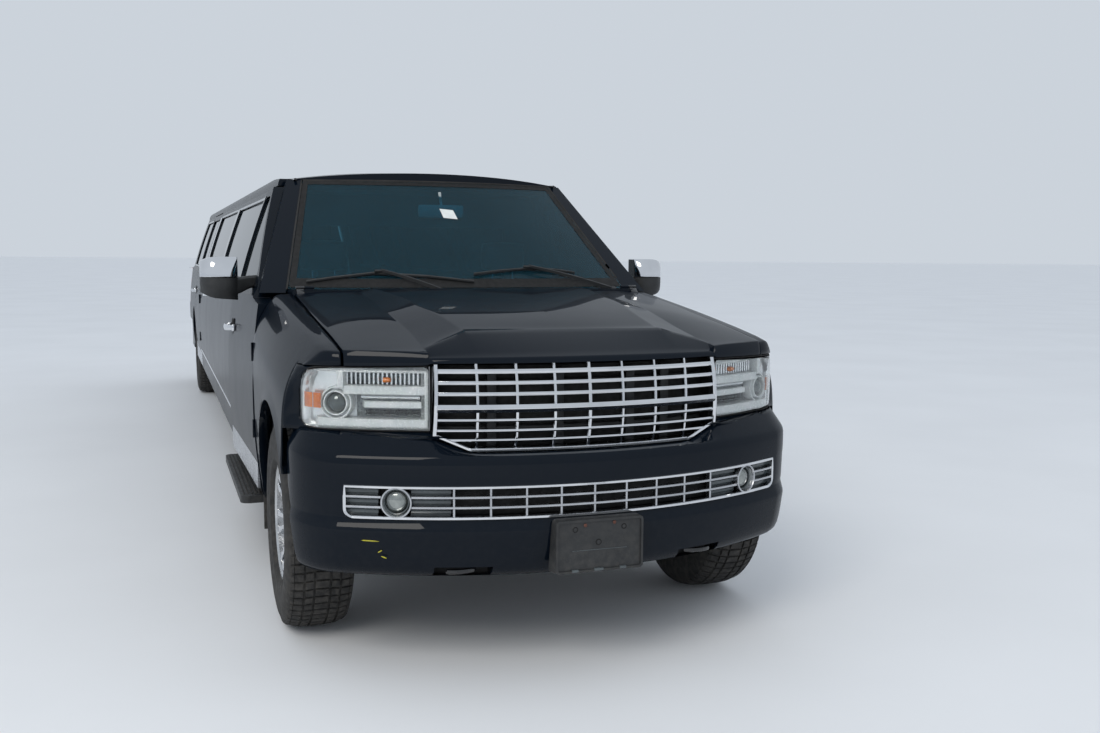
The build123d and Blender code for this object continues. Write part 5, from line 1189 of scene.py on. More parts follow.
def makeTyre():
    mesh = bmesh.new()
    line = list(wallLine)
    for a, b in ribs:
        line += [(a, crownAt(a) - wheel["groove"]), (b, crownAt(b) - wheel["groove"])]
    line += [(-x, r) for x, r in reversed(wallLine)]
    points = [mesh.verts.new((x, 0, r)) for x, r in line]
    edges = [mesh.edges.new((a, b)) for a, b in zip(points, points[1:])]
    steps = wheel["lugs"] * 2
    bmesh.ops.spin(mesh, geom=points + edges, cent=(0, 0, 0), axis=(1, 0, 0), angle=math.tau, steps=steps,
                   use_merge=True)
    bmesh.ops.remove_doubles(mesh, verts=mesh.verts, dist=1e-5)
    pitch = math.tau / wheel["lugs"]
    for v in mesh.verts:  # block and gap lengths alternate, and the shoulders' gaps lag behind the middle's
        r = math.hypot(v.co.y, v.co.z)
        angle = math.atan2(v.co.y, v.co.z) % math.tau
        n = round(angle / (pitch / 2))
        if r > 0.375:
            shift = 0.29 * pitch if n % 2 else 0.0
            angle = (n // 2) * pitch + shift + (pitch / 2) * (n % 2) + 3.2 * abs(v.co.x) * 0.12
            v.co.y, v.co.z = r * math.sin(angle), r * math.cos(angle)
    bmesh.ops.recalc_face_normals(mesh, faces=mesh.faces)
    blocks = []
    for f in mesh.faces:
        c = f.calc_center_median()
        span = max(v.co.x for v in f.verts) - min(v.co.x for v in f.verts)
        arc = max((a.co.yz - b.co.yz).length for a in f.verts for b in f.verts if abs(a.co.x - b.co.x) < 1e-4)
        if span > 0.02 and math.hypot(c.y, c.z) > 0.375 and abs(c.x) < 0.10 and arc > 0.6 * pitch * 0.39:
            blocks.append(f)
        elif 0.372 < math.hypot(c.y, c.z) < 0.392 and 0.100 < abs(c.x) < 0.1115 and arc > 0.6 * pitch * 0.37:
            blocks.append(f)
    lifted = bmesh.ops.extrude_discrete_faces(mesh, faces=blocks)["faces"]
    for f in lifted:
        c = f.calc_center_median()
        out = Vector((math.copysign(0.3, c.x) if abs(c.x) > 0.1 else 0, c.y / 0.39, c.z / 0.39)).normalized()
        for v in f.verts:
            v.co += out * (wheel["groove"] if abs(c.x) < 0.1 else 0.0055)
        bmesh.ops.scale(mesh, vec=(0.965, 0.965, 0.965), space=Matrix.Translation(-c), verts=f.verts[:])
    return mesh


def makeRim():
    # Barrel and lips are turned; the spokes are swept as pairs of arms and set round the axle
    barrel = bmesh.new()
    for profile in ([(0.2285, -0.104), (0.2285, 0.104), (0.2240, 0.1065), (0.2160, 0.1060), (0.2100, 0.098),
                     (0.2090, 0.080), (0.2030, 0.040), (0.2010, -0.04), (0.2060, -0.098), (0.2140, -0.106),
                     (0.2240, -0.1065), (0.2285, -0.104)],
                    [(0.0, 0.091), (0.020, 0.0905), (0.030, 0.088), (0.033, 0.083), (0.0335, 0.076), (0.0, 0.074)],
                    [(0.040, 0.076), (0.072, 0.076), (0.082, 0.072), (0.090, 0.060), (0.092, 0.040), (0.060, 0.036),
                     (0.0325, 0.036), (0.0325, 0.070), (0.040, 0.076)]):
        spun(barrel, profile, Matrix.Rotation(math.radians(90), 4, "Y"), 72)
    spokes = bmesh.new()
    for n in range(wheel["spokes"]):
        for arm in (-1, 1):  # each spoke is a pair of arms that part towards the rim
            rings = []
            for r, w, lift, deep in ((0.066, 0.0125, 0.072, 0.030), (0.100, 0.0105, 0.078, 0.030),
                                     (0.140, 0.0100, 0.085, 0.028), (0.175, 0.0110, 0.091, 0.026),
                                     (0.198, 0.0150, 0.096, 0.024), (0.214, 0.0210, 0.099, 0.020)):
                middle = arm * (0.0125 + 0.024 * ((r - 0.066) / 0.148) ** 1.4)
                a, b, low = middle - w, middle + w, lift - 0.003
                rings.append([(lift - deep, a, r), (low, a, r), (lift, a + 0.003, r), (lift, b - 0.003, r),
                              (low, b, r), (lift - deep, b, r)])
            fresh = bmesh.new()
            sweep(fresh, rings)
            bmesh.ops.rotate(fresh, cent=(0, 0, 0), matrix=Matrix.Rotation(math.tau * n / wheel["spokes"], 3, "X"),
                             verts=fresh.verts)
            join(spokes, fresh)
    nuts = bmesh.new()
    for n in range(wheel["nuts"]):
        a = math.tau * (n + 0.5) / wheel["nuts"]
        at = Matrix.Rotation(a, 4, "X") @ Matrix.Translation((0, 0, 0.057))
        at = at @ Matrix.Rotation(math.radians(90), 4, "Y")
        spun(nuts, [(0.0, 0.088), (0.006, 0.087), (0.0095, 0.083), (0.0100, 0.070), (0.0, 0.070)], at, 6)
    return barrel, spokes, nuts


def put(mesh, name, body, what, at, **more):
    fresh = mesh.copy()
    turn = Matrix.Identity(4) if at[0] > 0 else Matrix.Rotation(math.pi, 4, "Z")
    bmesh.ops.transform(fresh, matrix=Matrix.Translation(at) @ turn, verts=fresh.verts)
    return finish(name, fresh, body, what, **more)


tyreMesh = makeTyre()
barrelMesh, spokeMesh, nutMesh = makeRim()
for corner, (x, y) in wheel["centres"].items():
    at, body = (x, y, car["axle"]), f"wheel_{corner}"
    put(tyreMesh, f"tyreTread_{corner}", body, rubber, at, slot="tyre", instead=[f"tyre_{corner}"], sharp=32)
    put(barrelMesh, f"rimBarrel_{corner}", body, alloy, at, slot="alloy", instead=[f"rim_{corner}"], sharp=32)
    put(spokeMesh, f"rimSpokes_{corner}", body, chrome, at, slot="alloy", sharp=30, bevel=0.0012)
    put(nutMesh, f"rimNuts_{corner}", body, chrome, at, slot="alloy", sharp=25)
print("wheels done")

# Door mirrors: chrome cap above, black shell below, glass behind, and an arm of (x, low, high, y, width) sections
mirror = {"x": (1.0135, 1.180), "y": (-2.9565, -2.8365), "z": (1.229, 1.431), "split": 1.334, "seam": 0.002,
          "arm": [(0.9150, 1.293, 1.345, -2.868, 0.072), (0.960, 1.282, 1.342, -2.873, 0.078),
                  (1.000, 1.262, 1.336, -2.880, 0.084), (1.045, 1.246, 1.332, -2.890, 0.088)], "cut": 0.012}
(x0, x1), (y0, y1), (z0, z1), split = (mirror[k] for k in ("x", "y", "z", "split"))
for side in (1, -1):
    name, body = sideName(side), f"door_front_{sideName(side)}"
    for part, what, slot, low, high in (("Cap", chrome, "chrome_trim", split + mirror["seam"], z1),
                                        ("Shell", grainBlack, "black_plastic", z0, split)):
        mesh = bmesh.new()
        addBlock(mesh, ((x0 + x1) / 2, (y0 + y1) / 2, (low + high) / 2), (x1 - x0, y1 - y0, high - low))
        bmesh.ops.subdivide_edges(mesh, edges=mesh.edges[:], cuts=7, use_grid_fill=True)
        for v in mesh.verts:  # the outer end is lower and thinner, the front face is crowned
            u = (v.co.x - x0) / (x1 - x0)
            w = (v.co.z - z0) / (z1 - z0)
            t = (v.co.y - y0) / (y1 - y0)
            end = max(0.0, u - 0.55) / 0.45
            v.co.z = z0 + (v.co.z - z0) * (1 - 0.10 * end ** 2) + 0.022 * end ** 2 * (1 - w)
            if part == "Shell":
                v.co.z += 0.014 * (u if w < 0.3 else 0)
            crown = (1 - (2 * u - 1) ** 4 * 0.55) * (1 - (2 * w - 1) ** 4 * 0.5)
            v.co.y = y1 - (y1 - y0) * (1 - t) * (0.50 + 0.50 * crown) * (1 - 0.35 * end ** 3)
        bmesh.ops.scale(mesh, vec=(side, 1, 1), verts=mesh.verts)
        finish(f"mirror{part}_{name}", mesh, body, what, slot, [f"mirror_{name}"] if part == "Cap" else (),
               bevel=0.006, sharp=60)
    mesh = bmesh.new()
    addBlock(mesh, (side * 1.096, y1 + 0.001, 1.33), (0.142, 0.006, 0.168), soft=0.0028)
    finish(f"mirrorGlass_{name}", mesh, body, mirrorGlass, "glass", sharp=30)
    mesh = bmesh.new()
    rings = []
    for x, low, high, y, wide in mirror["arm"]:
        near, far, cut = y - wide / 2, y + wide / 2, mirror["cut"]
        rings.append([(side * x, near + cut, low), (side * x, far - cut, low), (side * x, far, low + 0.014),
                      (side * x, far, high - 0.010), (side * x, far - cut, high), (side * x, near + cut, high),
                      (side * x, near, high - 0.010), (side * x, near, low + 0.014)])
    sweep(mesh, rings)
    finish(f"mirrorArm_{name}", mesh, body, grainBlack, "black_plastic", sharp=50)
print("mirrors done")

# Windscreen: black border, seal, wipers, cowl vents, inner mirror and a blank sticker on the glass
screen = {"low": (1.290, 0.831, 1.744, 0.150), "high": (1.822, 0.670, 2.437, 0.125), "vents": 26, "pitch": 0.0265}


def screenAt(u, v, lift=0.0):
    z, half, s, bow = (a + (b - a) * v for a, b in zip(screen["low"], screen["high"]))
    return Vector((u * half, behind(s - bow * (1 - u * u) - 0.61 * lift), z + 0.79 * lift))


def ribbon(corners, steps, lift, deep):
    # A raised strip on the glass between two lines of (u, v)
    (a0, a1), (b0, b1) = corners
    rings = []
    for k in range(steps + 1):
        t = k / steps
        pa = (a0[0] + (a1[0] - a0[0]) * t, a0[1] + (a1[1] - a0[1]) * t)
        pb = (b0[0] + (b1[0] - b0[0]) * t, b0[1] + (b1[1] - b0[1]) * t)
        rings.append([screenAt(*pa, lift), screenAt(*pa, lift + deep), screenAt(*pb, lift + deep),
                      screenAt(*pb, lift)])
    return rings


mesh = bmesh.new()
sweep(mesh, ribbon((((-0.985, 0.01), (0.985, 0.01)), ((-0.985, 0.085), (0.985, 0.085))), 30, 0.0008, 0.001))
sweep(mesh, ribbon((((-0.985, 0.955), (0.985, 0.955)), ((-0.985, 0.99), (0.985, 0.99))), 30, 0.0008, 0.001))
for side in (-1, 1):
    sweep(mesh, ribbon((((side * 0.955, 0.03), (side * 0.950, 0.97)), ((side * 0.99, 0.03), (side * 0.988, 0.97))),
                       12, 0.0008, 0.001))
finish("screenBorder", mesh, "body", trimAndShadeBlack, "black_plastic", sharp=30)
mesh = bmesh.new()  # seal that stands up round the glass
loop = [(-0.998, 0.0), (-0.998, 0.5), (-0.996, 0.994), (-0.5, 0.999), (0.0, 1.0), (0.5, 0.999), (0.996, 0.994),
        (0.998, 0.5), (0.998, 0.0)]
rings = []
for (u0, v0), (u1, v1) in zip(loop, loop[1:]):
    for k in range(6):
        t = k / 6
        p = screenAt(u0 + (u1 - u0) * t, v0 + (v1 - v0) * t, 0.002)
        turns = [(math.cos(math.tau * n / 8), math.sin(math.tau * n / 8)) for n in range(8)]
        rings.append([p + Vector((0.005 * c, 0.003 * d, 0.003 * d + 0.004 * c)) for c, d in turns])
sweep(mesh, rings)
finish("screenSeal", mesh, "body", rubber, "black_plastic", sharp=60)

wiper = {"right": {"blade": [(-0.90, 0.045), (-0.765, 0.078), (-0.542, 0.118), (-0.237, 0.092), (0.02, 0.050)],
                   "pivot": (-0.16, -0.045), "grip": (-0.50, 0.122)},
         "left": {"blade": [(0.035, 0.112), (0.20, 0.140), (0.38, 0.160), (0.56, 0.150), (0.70, 0.125)],
                  "pivot": (0.90, -0.035), "grip": (0.40, 0.162)}}
for name, part in wiper.items():
    mesh = bmesh.new()
    line = [screenAt(u, v, 0.012) for u, v in part["blade"]]
    for a, b in zip(line, line[1:]):
        addRod(mesh, a, b, 0.0055, segments=8)
    low = [screenAt(u, v - 0.012, 0.004) for u, v in part["blade"]]
    sweep(mesh, [[p + Vector((0, 0, 0.0035)), p + Vector((0, -0.004, 0.008)), q, q + Vector((0, 0.004, 0.001))]
                 for p, q in zip(low, line)])
    grip, pivot = screenAt(*part["grip"], 0.026), screenAt(*part["pivot"], 0.014)
    bow = (grip + pivot) / 2 + Vector((0, -0.010, 0.012))
    rings = []
    for k in range(9):
        t = k / 8
        p = pivot * (1 - t) ** 2 + bow * (2 * t * (1 - t)) + grip * t ** 2
        w = 0.012 - 0.005 * t
        rings.append([p + Vector((0, -w * 0.3, -w)), p + Vector((0, w * 0.4, -w * 0.2)), p + Vector((0, w * 0.3, w)),
                      p + Vector((0, -w * 0.6, w * 0.6))])
    sweep(mesh, rings)
    addBlock(mesh, grip + Vector((0, 0.004, -0.008)), (0.060, 0.012, 0.020), turn=(40, 0, 0), soft=0.003)
    spun(mesh, [(0.0, 0.014), (0.012, 0.012), (0.017, 0.006), (0.018, -0.014), (0.0, -0.016)],
         Matrix.Translation(pivot) @ Matrix.Rotation(math.radians(20), 4, "X"), 20)
    finish(f"wiper_{name}", mesh, "body", grainBlack, "black_plastic", sharp=35)
mesh = bmesh.new()
for n in range(screen["vents"]):
    x = -0.66 + screen["pitch"] * n
    for side in (1, -1):
        at = screenAt(side * x / 0.84, -0.020, 0.006)
        addBlock(mesh, at + Vector((0, -0.03, -0.004)), (0.013, 0.034, 0.006), turn=(14, 0, 0), soft=0.002)
finish("cowlVents", mesh, "body", trimAndShadeBlack, "black_plastic", sharp=30)

innerMirror = {"at": (0.013, 2.235, 1.668), "size": (0.235, 0.030, 0.066)}
mesh = bmesh.new()
x, s, z = innerMirror["at"]
bmesh.ops.create_cube(mesh, size=1, matrix=place((x, behind(s), z), (8, 0, -6), innerMirror["size"]))
soften(mesh, mesh.edges[:], 0.012, 4)
addRod(mesh, (x, behind(s) - 0.01, z + 0.02), (0.0, behind(2.21), 1.765), 0.007, segments=12)
finish("innerMirror", mesh, "body", paleGrey, "black_plastic", sharp=40)
mesh = bmesh.new()
sweep(mesh, ribbon((((-0.026, 0.640), (0.072, 0.628)), ((-0.034, 0.728), (0.062, 0.716))), 2, 0.0008, 0.0007))
label = look("blankLabel", (0.78, 0.80, 0.76), (0.70, 0.73, 0.70), 0.6, 0.05, patch=30.0, grain=0.02)
finish("blankSticker", mesh, "body", label, "black_plastic")
print("windscreen done")

# Sides: post strips, window mouldings, sills, seals, pulls, side lamps, treads, mud flaps, fuel flap, roof mouldings
posts = {"low": 1.296, "high": 1.756, "brightLow": 1.300, "brightHigh": 1.752, "middle": (-0.062, 0.107),
         "bright": ((-2.088, -1.988), (2.032, 2.132)),
         "dark": ((-2.152, -2.094), (-1.982, -1.967), (2.012, 2.027), (2.138, 2.198))}
belt = {"z": 1.300, "tall": 0.016, "topZ": 1.751, "topTall": 0.012, "topEnd": 4.42,
        "runs": ((-1.982, -0.060), (0.105, 2.027), (3.395, 4.530))}
sill = {"y": (-2.150, 2.195), "z": 0.480, "tall": 0.150, "lineZ": 0.558, "lineTall": 0.012}
seals = {"door_front": ((behind(1.98), behind(2.69)), [(behind(2.696), behind(2.720))]),
         "door_rear": ((2.265, 3.262), [(3.262, 3.284), (2.246, 2.272)])}
board = {1: (0.800, 0.940), -1: (0.900, 1.040), "ribs": 8, "top": 0.3463, "long": 1.02}
flap = {"y": 4.10, "z": 1.06, "half": 0.078, "seam": 0.004}
glassLine = [(1.29, 0.9395), (1.35, 0.9229), (1.40, 0.9084), (1.45, 0.8936), (1.50, 0.8778), (1.55, 0.8616),
             (1.60, 0.8447), (1.65, 0.8271), (1.70, 0.8091), (1.75, 0.7902), (1.80, 0.7739)]


def glassX(z):
    return between(glassLine, z)[0]


def stripe(mesh, side, y0, y1, z0, z1, out, deep, rows=6, slant=0.0):
    # A strip that follows the leaning side between two heights
    rings = []
    for k in range(rows + 1):
        z = z0 + (z1 - z0) * k / rows
        x = (glassX(z) if z > 1.285 else sideX(z)) + out
        dy = slant * (z - z0)
        c = min(deep, 0.003) * 0.6
        rings.append([(side * (x - deep), y0 + dy, z), (side * (x - c), y0 + dy, z), (side * x, y0 + dy + c, z),
                      (side * x, y1 + dy - c, z), (side * (x - c), y1 + dy, z), (side * (x - deep), y1 + dy, z)])
    sweep(mesh, rings)


def moulding(mesh, side, y0, y1, z, tall, out, deep, steps=1):
    rings = []
    for k in range(steps + 1):
        y = y0 + (y1 - y0) * k / steps
        x = (glassX(z) if z > 1.285 else sideX(z)) + out
        rings.append([(side * (x - deep), y, z - tall / 2), (side * (x - 0.0015), y, z - tall / 2),
                      (side * x, y, z - tall / 2 + 0.002), (side * x, y, z + tall / 2 - 0.002),
                      (side * (x - 0.0015), y, z + tall / 2), (side * (x - deep), y, z + tall / 2)])
    sweep(mesh, rings)


for side in (1, -1):
    name = sideName(side)
    mesh = bmesh.new()
    for y0, y1 in posts["bright"]:
        stripe(mesh, side, y0, y1, posts["brightLow"], posts["brightHigh"], 0.0045, 0.004)
    finish(f"postStrips_{name}", mesh, "body", chrome, "chrome_trim", sharp=30)
    mesh = bmesh.new()
    for y0, y1 in posts["dark"]:
        stripe(mesh, side, y0, y1, posts["low"], posts["high"], 0.0035, 0.003)
    for y0, y1 in belt["runs"]:
        moulding(mesh, side, y0, y1, belt["z"], belt["tall"], 0.0045, 0.006)
        moulding(mesh, side, y0, min(y1, belt["topEnd"]), belt["topZ"], belt["topTall"], 0.0035, 0.005)
    stripe(mesh, side, *posts["middle"], posts["low"], posts["high"], 0.0032, 0.003)
    finish(f"windowBands_{name}", mesh, "body", glossBlack, "black_plastic", sharp=30)
    mesh = bmesh.new()  # lower moulding of the stretched middle, with a thin bright line
    moulding(mesh, side, *sill["y"], sill["z"], sill["tall"], 0.0045, 0.010, 8)
    finish(f"sillPanel_{name}", mesh, "body", paint, "paint", sharp=30)
    mesh = bmesh.new()
    moulding(mesh, side, *sill["y"], sill["lineZ"], sill["lineTall"], 0.0065, 0.010, 8)
    finish(f"sillLine_{name}", mesh, "body", chrome, "chrome_trim", sharp=30)
    for kind, (y0, y1) in doors.items():
        body = f"{kind}_{name}"
        mesh = bmesh.new()
        moulding(mesh, side, y0 + 0.012, y1 - 0.010, 0.480, 0.145, 0.0055, 0.010, 2)
        finish(f"lowerStrip_{kind}_{name}", mesh, body, satinTrim, "chrome_trim", sharp=30)
        mesh = bmesh.new()
        run, uprights = seals[kind]
        moulding(mesh, side, *run, belt["z"], belt["tall"], 0.0045, 0.006)
        for a, b in uprights:
            stripe(mesh, side, a, b, posts["low"], 1.748, 0.0035, 0.003)
        finish(f"windowSeal_{kind}_{name}", mesh, body, glossBlack, "black_plastic", sharp=30)
        # Pull: a dished cup and a bright bar on two feet
        z, middle = 1.068, (y1 - 0.215)
        x = sideX(z)
        mesh = bmesh.new()
        lie = Matrix.Translation((side * x, middle, z)) @ Matrix.Rotation(side * math.radians(90), 4, "Y")
        spun(mesh, [(0.0, 0.0012), (0.030, 0.0014), (0.037, 0.003), (0.041, 0.0045), (0.045, 0.003), (0.046, 0.0),
                    (0.0, -0.001)], lie, 32)
        finish(f"pullCup_{kind}_{name}", mesh, body, trimAndShadeBlack, "black_plastic", sharp=30)
        mesh = bmesh.new()
        rings = []
        for k in range(13):
            t = k / 12
            y = middle - 0.095 + 0.190 * t
            out = 0.010 + 0.032 * math.sin(math.pi * min(1.0, max(0.0, t))) ** 0.55
            w = 0.013 + 0.004 * math.sin(math.pi * t)
            rings.append([(side * (x + out + 0.007 * math.cos(a)), y, z + w * math.sin(a)) for a in
                          (math.tau * n / 10 for n in range(10))])
        sweep(mesh, rings)
        for end in (-0.096, 0.096):
            addBlock(mesh, (side * (x + 0.008), middle + end, z), (0.020, 0.030, 0.034), soft=0.005)
        finish(f"pullBar_{kind}_{name}", mesh, body, chrome, "chrome_trim", sharp=45)
    mesh = bmesh.new()
    addBlock(mesh, (side * (sideX(0.405) - 0.002), behind(5.80), 0.418), (0.022, 0.075, 0.028), soft=0.006)
    finish(f"sideLamp_{name}", mesh, "body", amber, "lamp", sharp=40)
    mesh = bmesh.new()  # ribbed treads on the running boards
    a, b = board[side]
    for n in range(board["ribs"]):
        x = side * (a + (b - a) * (n + 0.5) / board["ribs"])
        addBlock(mesh, (x, behind(2.30), board["top"]), (0.0075, board["long"], 0.0036), soft=0.001)
    finish(f"boardTread_{name}", mesh, "body", rubber, "black_plastic", sharp=30)
    mesh = bmesh.new()  # mud flap behind each wheel
    for axle in (car["frontAxle"], car["rearAxle"]):
        addBlock(mesh, (side * 0.885, axle + 0.504, 0.335), (0.180, 0.006, 0.150), turn=(-4, 0, 0), soft=0.002)
    finish(f"mudFlaps_{name}", mesh, "body", rubber, "black_plastic", sharp=30)
# Fuel flap and its seam on the left rear side
for name, wide, out, deep, what, slot in (
        ("fuelFlap", flap["half"], 0.0030, 0.004, paint, "paint"),
        ("fuelFlapSeam", flap["half"] + flap["seam"], 0.0012, 0.003, trimAndShadeBlack, "black_plastic")):
    mesh = bmesh.new()
    stripe(mesh, 1, flap["y"] - wide, flap["y"] + wide, flap["z"] - wide, flap["z"] + wide, out, deep)
    finish(name, mesh, "body", what, slot, sharp=30)
mesh = bmesh.new()  # roof mouldings over the doors
for side in (-1, 1):
    rings = []
    for s, z in ((2.42, 1.8262), (2.70, 1.8400), (3.00, 1.8540), (3.30, 1.8670), (5.0, 1.8685), (7.0, 1.8685),
                 (9.35, 1.8685)):
        x, y = side * 0.7005, behind(s)
        rings.append([(x - 0.007, y, z - 0.004), (x + 0.007, y, z - 0.006), (x + 0.006, y, z + 0.002),
                      (x, y, z + 0.0045), (x - 0.006, y, z + 0.0035)])
    sweep(mesh, rings)
finish("roofMouldings", mesh, "body", glossBlack, "black_plastic", sharp=40)
print("sides done")

# Tail: strip, blank plate, window bands, high lamp, wiper, lamp frames, reflectors and the bumper's step
gateLine = [(0.705, 4.7745), (0.765, 4.7925), (1.195, 4.7825), (1.288, 4.7525), (1.864, 4.6425)]


def gateY(z):
    return between(gateLine, z)[0]


def onGate(mesh, x0, x1, z0, z1, lift, deep, soft=0.002):
    # A block that follows the gate's slope
    y0, y1 = gateY(z0), gateY(z1)
    lean = math.degrees(math.atan2(y0 - y1, z1 - z0))
    addBlock(mesh, ((x0 + x1) / 2, (y0 + y1) / 2 + lift - deep / 2, (z0 + z1) / 2),
             (x1 - x0, deep, math.hypot(z1 - z0, y1 - y0)), turn=(lean, 0, 0), soft=soft)


mesh = bmesh.new()
onGate(mesh, -0.390, 0.390, 1.125, 1.160, 0.020, 0.026, 0.005)
finish("gateStrip", mesh, "liftgate", chrome, "chrome_trim", sharp=30)
mesh = bmesh.new()
onGate(mesh, -0.300, 0.300, 0.905, 1.095, 0.004, 0.010, 0.003)
onGate(mesh, -0.210, 0.210, 1.097, 1.121, 0.022, 0.024, 0.004)
finish("plateSurround", mesh, "liftgate", grainBlack, "black_plastic", sharp=30)
mesh = bmesh.new()
onGate(mesh, -0.1525, 0.1525, 0.925, 1.077, 0.0075, 0.003, 0.0015)
blank = look("blankPlate", (0.62, 0.63, 0.62), (0.52, 0.53, 0.53), 0.4, 0.06, metal=0.5, patch=14.0, grain=0.03)
finish("blankPlate", mesh, "liftgate", blank, "chrome_trim", sharp=30)
mesh = bmesh.new()
for x in (-0.089, 0.089):
    for z in (0.940, 1.062):
        spun(mesh, [(0.0, 0.004), (0.005, 0.0035), (0.0065, 0.001), (0.0065, -0.002), (0.0, -0.002)],
             Matrix.Translation((x, gateY(z) + 0.0075, z)) @ Matrix.Rotation(math.radians(-90), 4, "X"), 12)
for x in (-0.13, 0.13):
    onGate(mesh, x - 0.025, x + 0.025, 1.101, 1.113, 0.024, 0.006, 0.001)
finish("plateScrews", mesh, "liftgate", satinTrim, "chrome_trim", sharp=30)
mesh = bmesh.new()
onGate(mesh, -0.560, 0.560, 1.290, 1.316, 0.006, 0.010, 0.003)
onGate(mesh, -0.575, 0.575, 1.765, 1.800, 0.006, 0.010, 0.003)
for side in (-1, 1):
    onGate(mesh, *sorted((side * 0.556, side * 0.592)), 1.300, 1.790, 0.005, 0.008, 0.002)
finish("gateBands", mesh, "liftgate", glossBlack, "black_plastic", sharp=30)
mesh = bmesh.new()
onGate(mesh, -0.160, 0.160, 1.806, 1.832, 0.010, 0.018, 0.005)
finish("highLamp", mesh, "liftgate", redLens, "red_lamp", sharp=30)
mesh = bmesh.new()
foot = Vector((0, gateY(1.303) + 0.022, 1.303))
tip = Vector((-0.38, gateY(1.372) + 0.020, 1.372))
spun(mesh, [(0.0, 0.012), (0.014, 0.010), (0.022, 0.004), (0.024, -0.020), (0.0, -0.022)],
     Matrix.Translation(foot) @ Matrix.Rotation(math.radians(-80), 4, "X"), 24)
bend = (foot + tip) / 2 + Vector((0, 0.006, 0))
addRod(mesh, foot, bend, 0.010, 0.007, 10)
addRod(mesh, bend, tip, 0.007, 0.005, 10)
addRod(mesh, (-0.49, gateY(1.345) + 0.013, 1.345), (-0.09, gateY(1.388) + 0.013, 1.388), 0.0055, 0.0055, 8)
finish("rearWiper", mesh, "liftgate", grainBlack, "black_plastic", sharp=40)
for side in (1, -1):
    name = sideName(side)
    mesh = bmesh.new()
    for z in (0.886, 1.266):  # bright frame above and below the lamp
        rings = []
        for t in range(9):
            a = math.radians(90 * t / 8)
            x, y = 0.872 + 0.128 * math.sin(a), 4.640 + 0.135 * math.cos(a)
            rings.append([(side * x, y, z - 0.006), (side * (x + 0.004), y + 0.004, z), (side * x, y, z + 0.006),
                          (side * (x - 0.012), y - 0.012, z)])
        sweep(mesh, rings)
    finish(f"tailFrames_{name}", mesh, "body", chrome, "chrome_trim", sharp=40)
    mesh = bmesh.new()
    addBlock(mesh, (side * 0.690, 4.9055, 0.610), (0.150, 0.008, 0.036), turn=(0, 0, side * -3.6), soft=0.002)
    finish(f"tailReflector_{name}", mesh, "body", redLens, "red_lamp", sharp=30)
mesh = bmesh.new()  # ribbed step that closes the gap between bumper and gate
addBlock(mesh, (0, 4.858, 0.6925), (1.16, 0.094, 0.010), soft=0.003)
for n in range(8):
    addBlock(mesh, (0, 4.820 + 0.0112 * n, 0.6985), (1.10, 0.0060, 0.004), soft=0.001)
finish("stepRibs", mesh, "body", rubber, "black_plastic", sharp=30)
print("tail done")

# Padded seats: each pad is a closed crowned form that a cloth simulation swells within its box
seats = {"frontX": ((0.25, 0.78), (-0.78, -0.25)), "pressure": 4.0, "frames": 20, "cap": 0.024, "shrink": 0.016,
         "crown": 0.006, "waist": 0.006, "slack": 0.004, "pads": []}


def hold(mesh, start, cap, low, high):
    # No point moves further than the cap, and the swollen form keeps within the CAD solid's reach
    moves = []
    for v, rest in zip(mesh.vertices, start):
        move = Vector(v.co) - rest
        moves.append(move * min(1.0, cap / move.length) if move.length else move)
    for axis in range(3):
        for sign, limit in ((1, high[axis]), (-1, -low[axis])):
            before = max(sign * rest[axis] for rest in start)
            after = max(sign * (rest[axis] + move[axis]) for rest, move in zip(start, moves))
            if after > limit:
                share = max(0.0, (limit - before) / (after - before)) if after > before else 0.0
                for move in moves:
                    if sign * move[axis] > 0:
                        move[axis] *= share
    for v, rest, move in zip(mesh.vertices, start, moves):
        v.co = rest + move


def baked(obj):
    # The mesh with its modifiers applied, in place of the one before
    fresh = bpy.data.meshes.new_from_object(obj.evaluated_get(bpy.context.evaluated_depsgraph_get()))
    obj.modifiers.clear()
    old, obj.data = obj.data, fresh
    if not fresh.materials:
        for item in old.materials:
            fresh.materials.append(item)
    bpy.data.meshes.remove(old)


def swell(obj, cap, box):
    # Cloth under pressure, applied to the mesh
    baked(obj)
    start = [Vector(v.co) for v in obj.data.vertices]
    cloth = obj.modifiers.new("cloth", "CLOTH")
    cloth.settings.use_pressure = True
    cloth.settings.uniform_pressure_force = seats["pressure"]
    cloth.settings.effector_weights.gravity = 0
    cloth.settings.quality = 4
    cloth.point_cache.frame_start = 1
    cloth.point_cache.frame_end = seats["frames"]
    for frameAt in range(1, seats["frames"] + 1):
        scene.frame_set(frameAt)
    baked(obj)
    scene.frame_set(1)
    hold(obj.data, start, cap, *box)


def padForm(size, channels, axis):
    # A block of a few cells whose faces swell and whose sides pull in between its corners
    mesh = bmesh.new()
    bmesh.ops.create_cube(mesh, size=1)
    bmesh.ops.subdivide_edges(mesh, edges=mesh.edges[:], cuts=9, use_grid_fill=True)
    for v in mesh.verts:
        u = [2 * c for c in v.co]
        dome = [(1 - u[(a + 1) % 3] ** 2) * (1 - u[(a + 2) % 3] ** 2) for a in range(3)]
        for a in range(3):
            outward = math.copysign(1, u[a]) * abs(u[a]) ** 3
            v.co[a] = v.co[a] * size[a] + outward * seats["crown"] * dome[a]
            farthest = max(abs(u[(a + 1) % 3]), abs(u[(a + 2) % 3]))
            v.co[a] -= outward * seats["waist"] * (1 - dome[a]) * (1 - farthest ** 4)
        if channels:
            t = (u[axis] + 1) / 2 * channels
            near = abs(t - round(t))
            if 0.4 < t < channels - 0.4 and near < 0.12:
                v.co[2] -= math.copysign(0.006, u[2]) * (1 - near / 0.12)
    soften(mesh, [e for e in mesh.edges if e.calc_face_angle(0) > 1.2], min(size) * 0.16, 4)
    return mesh


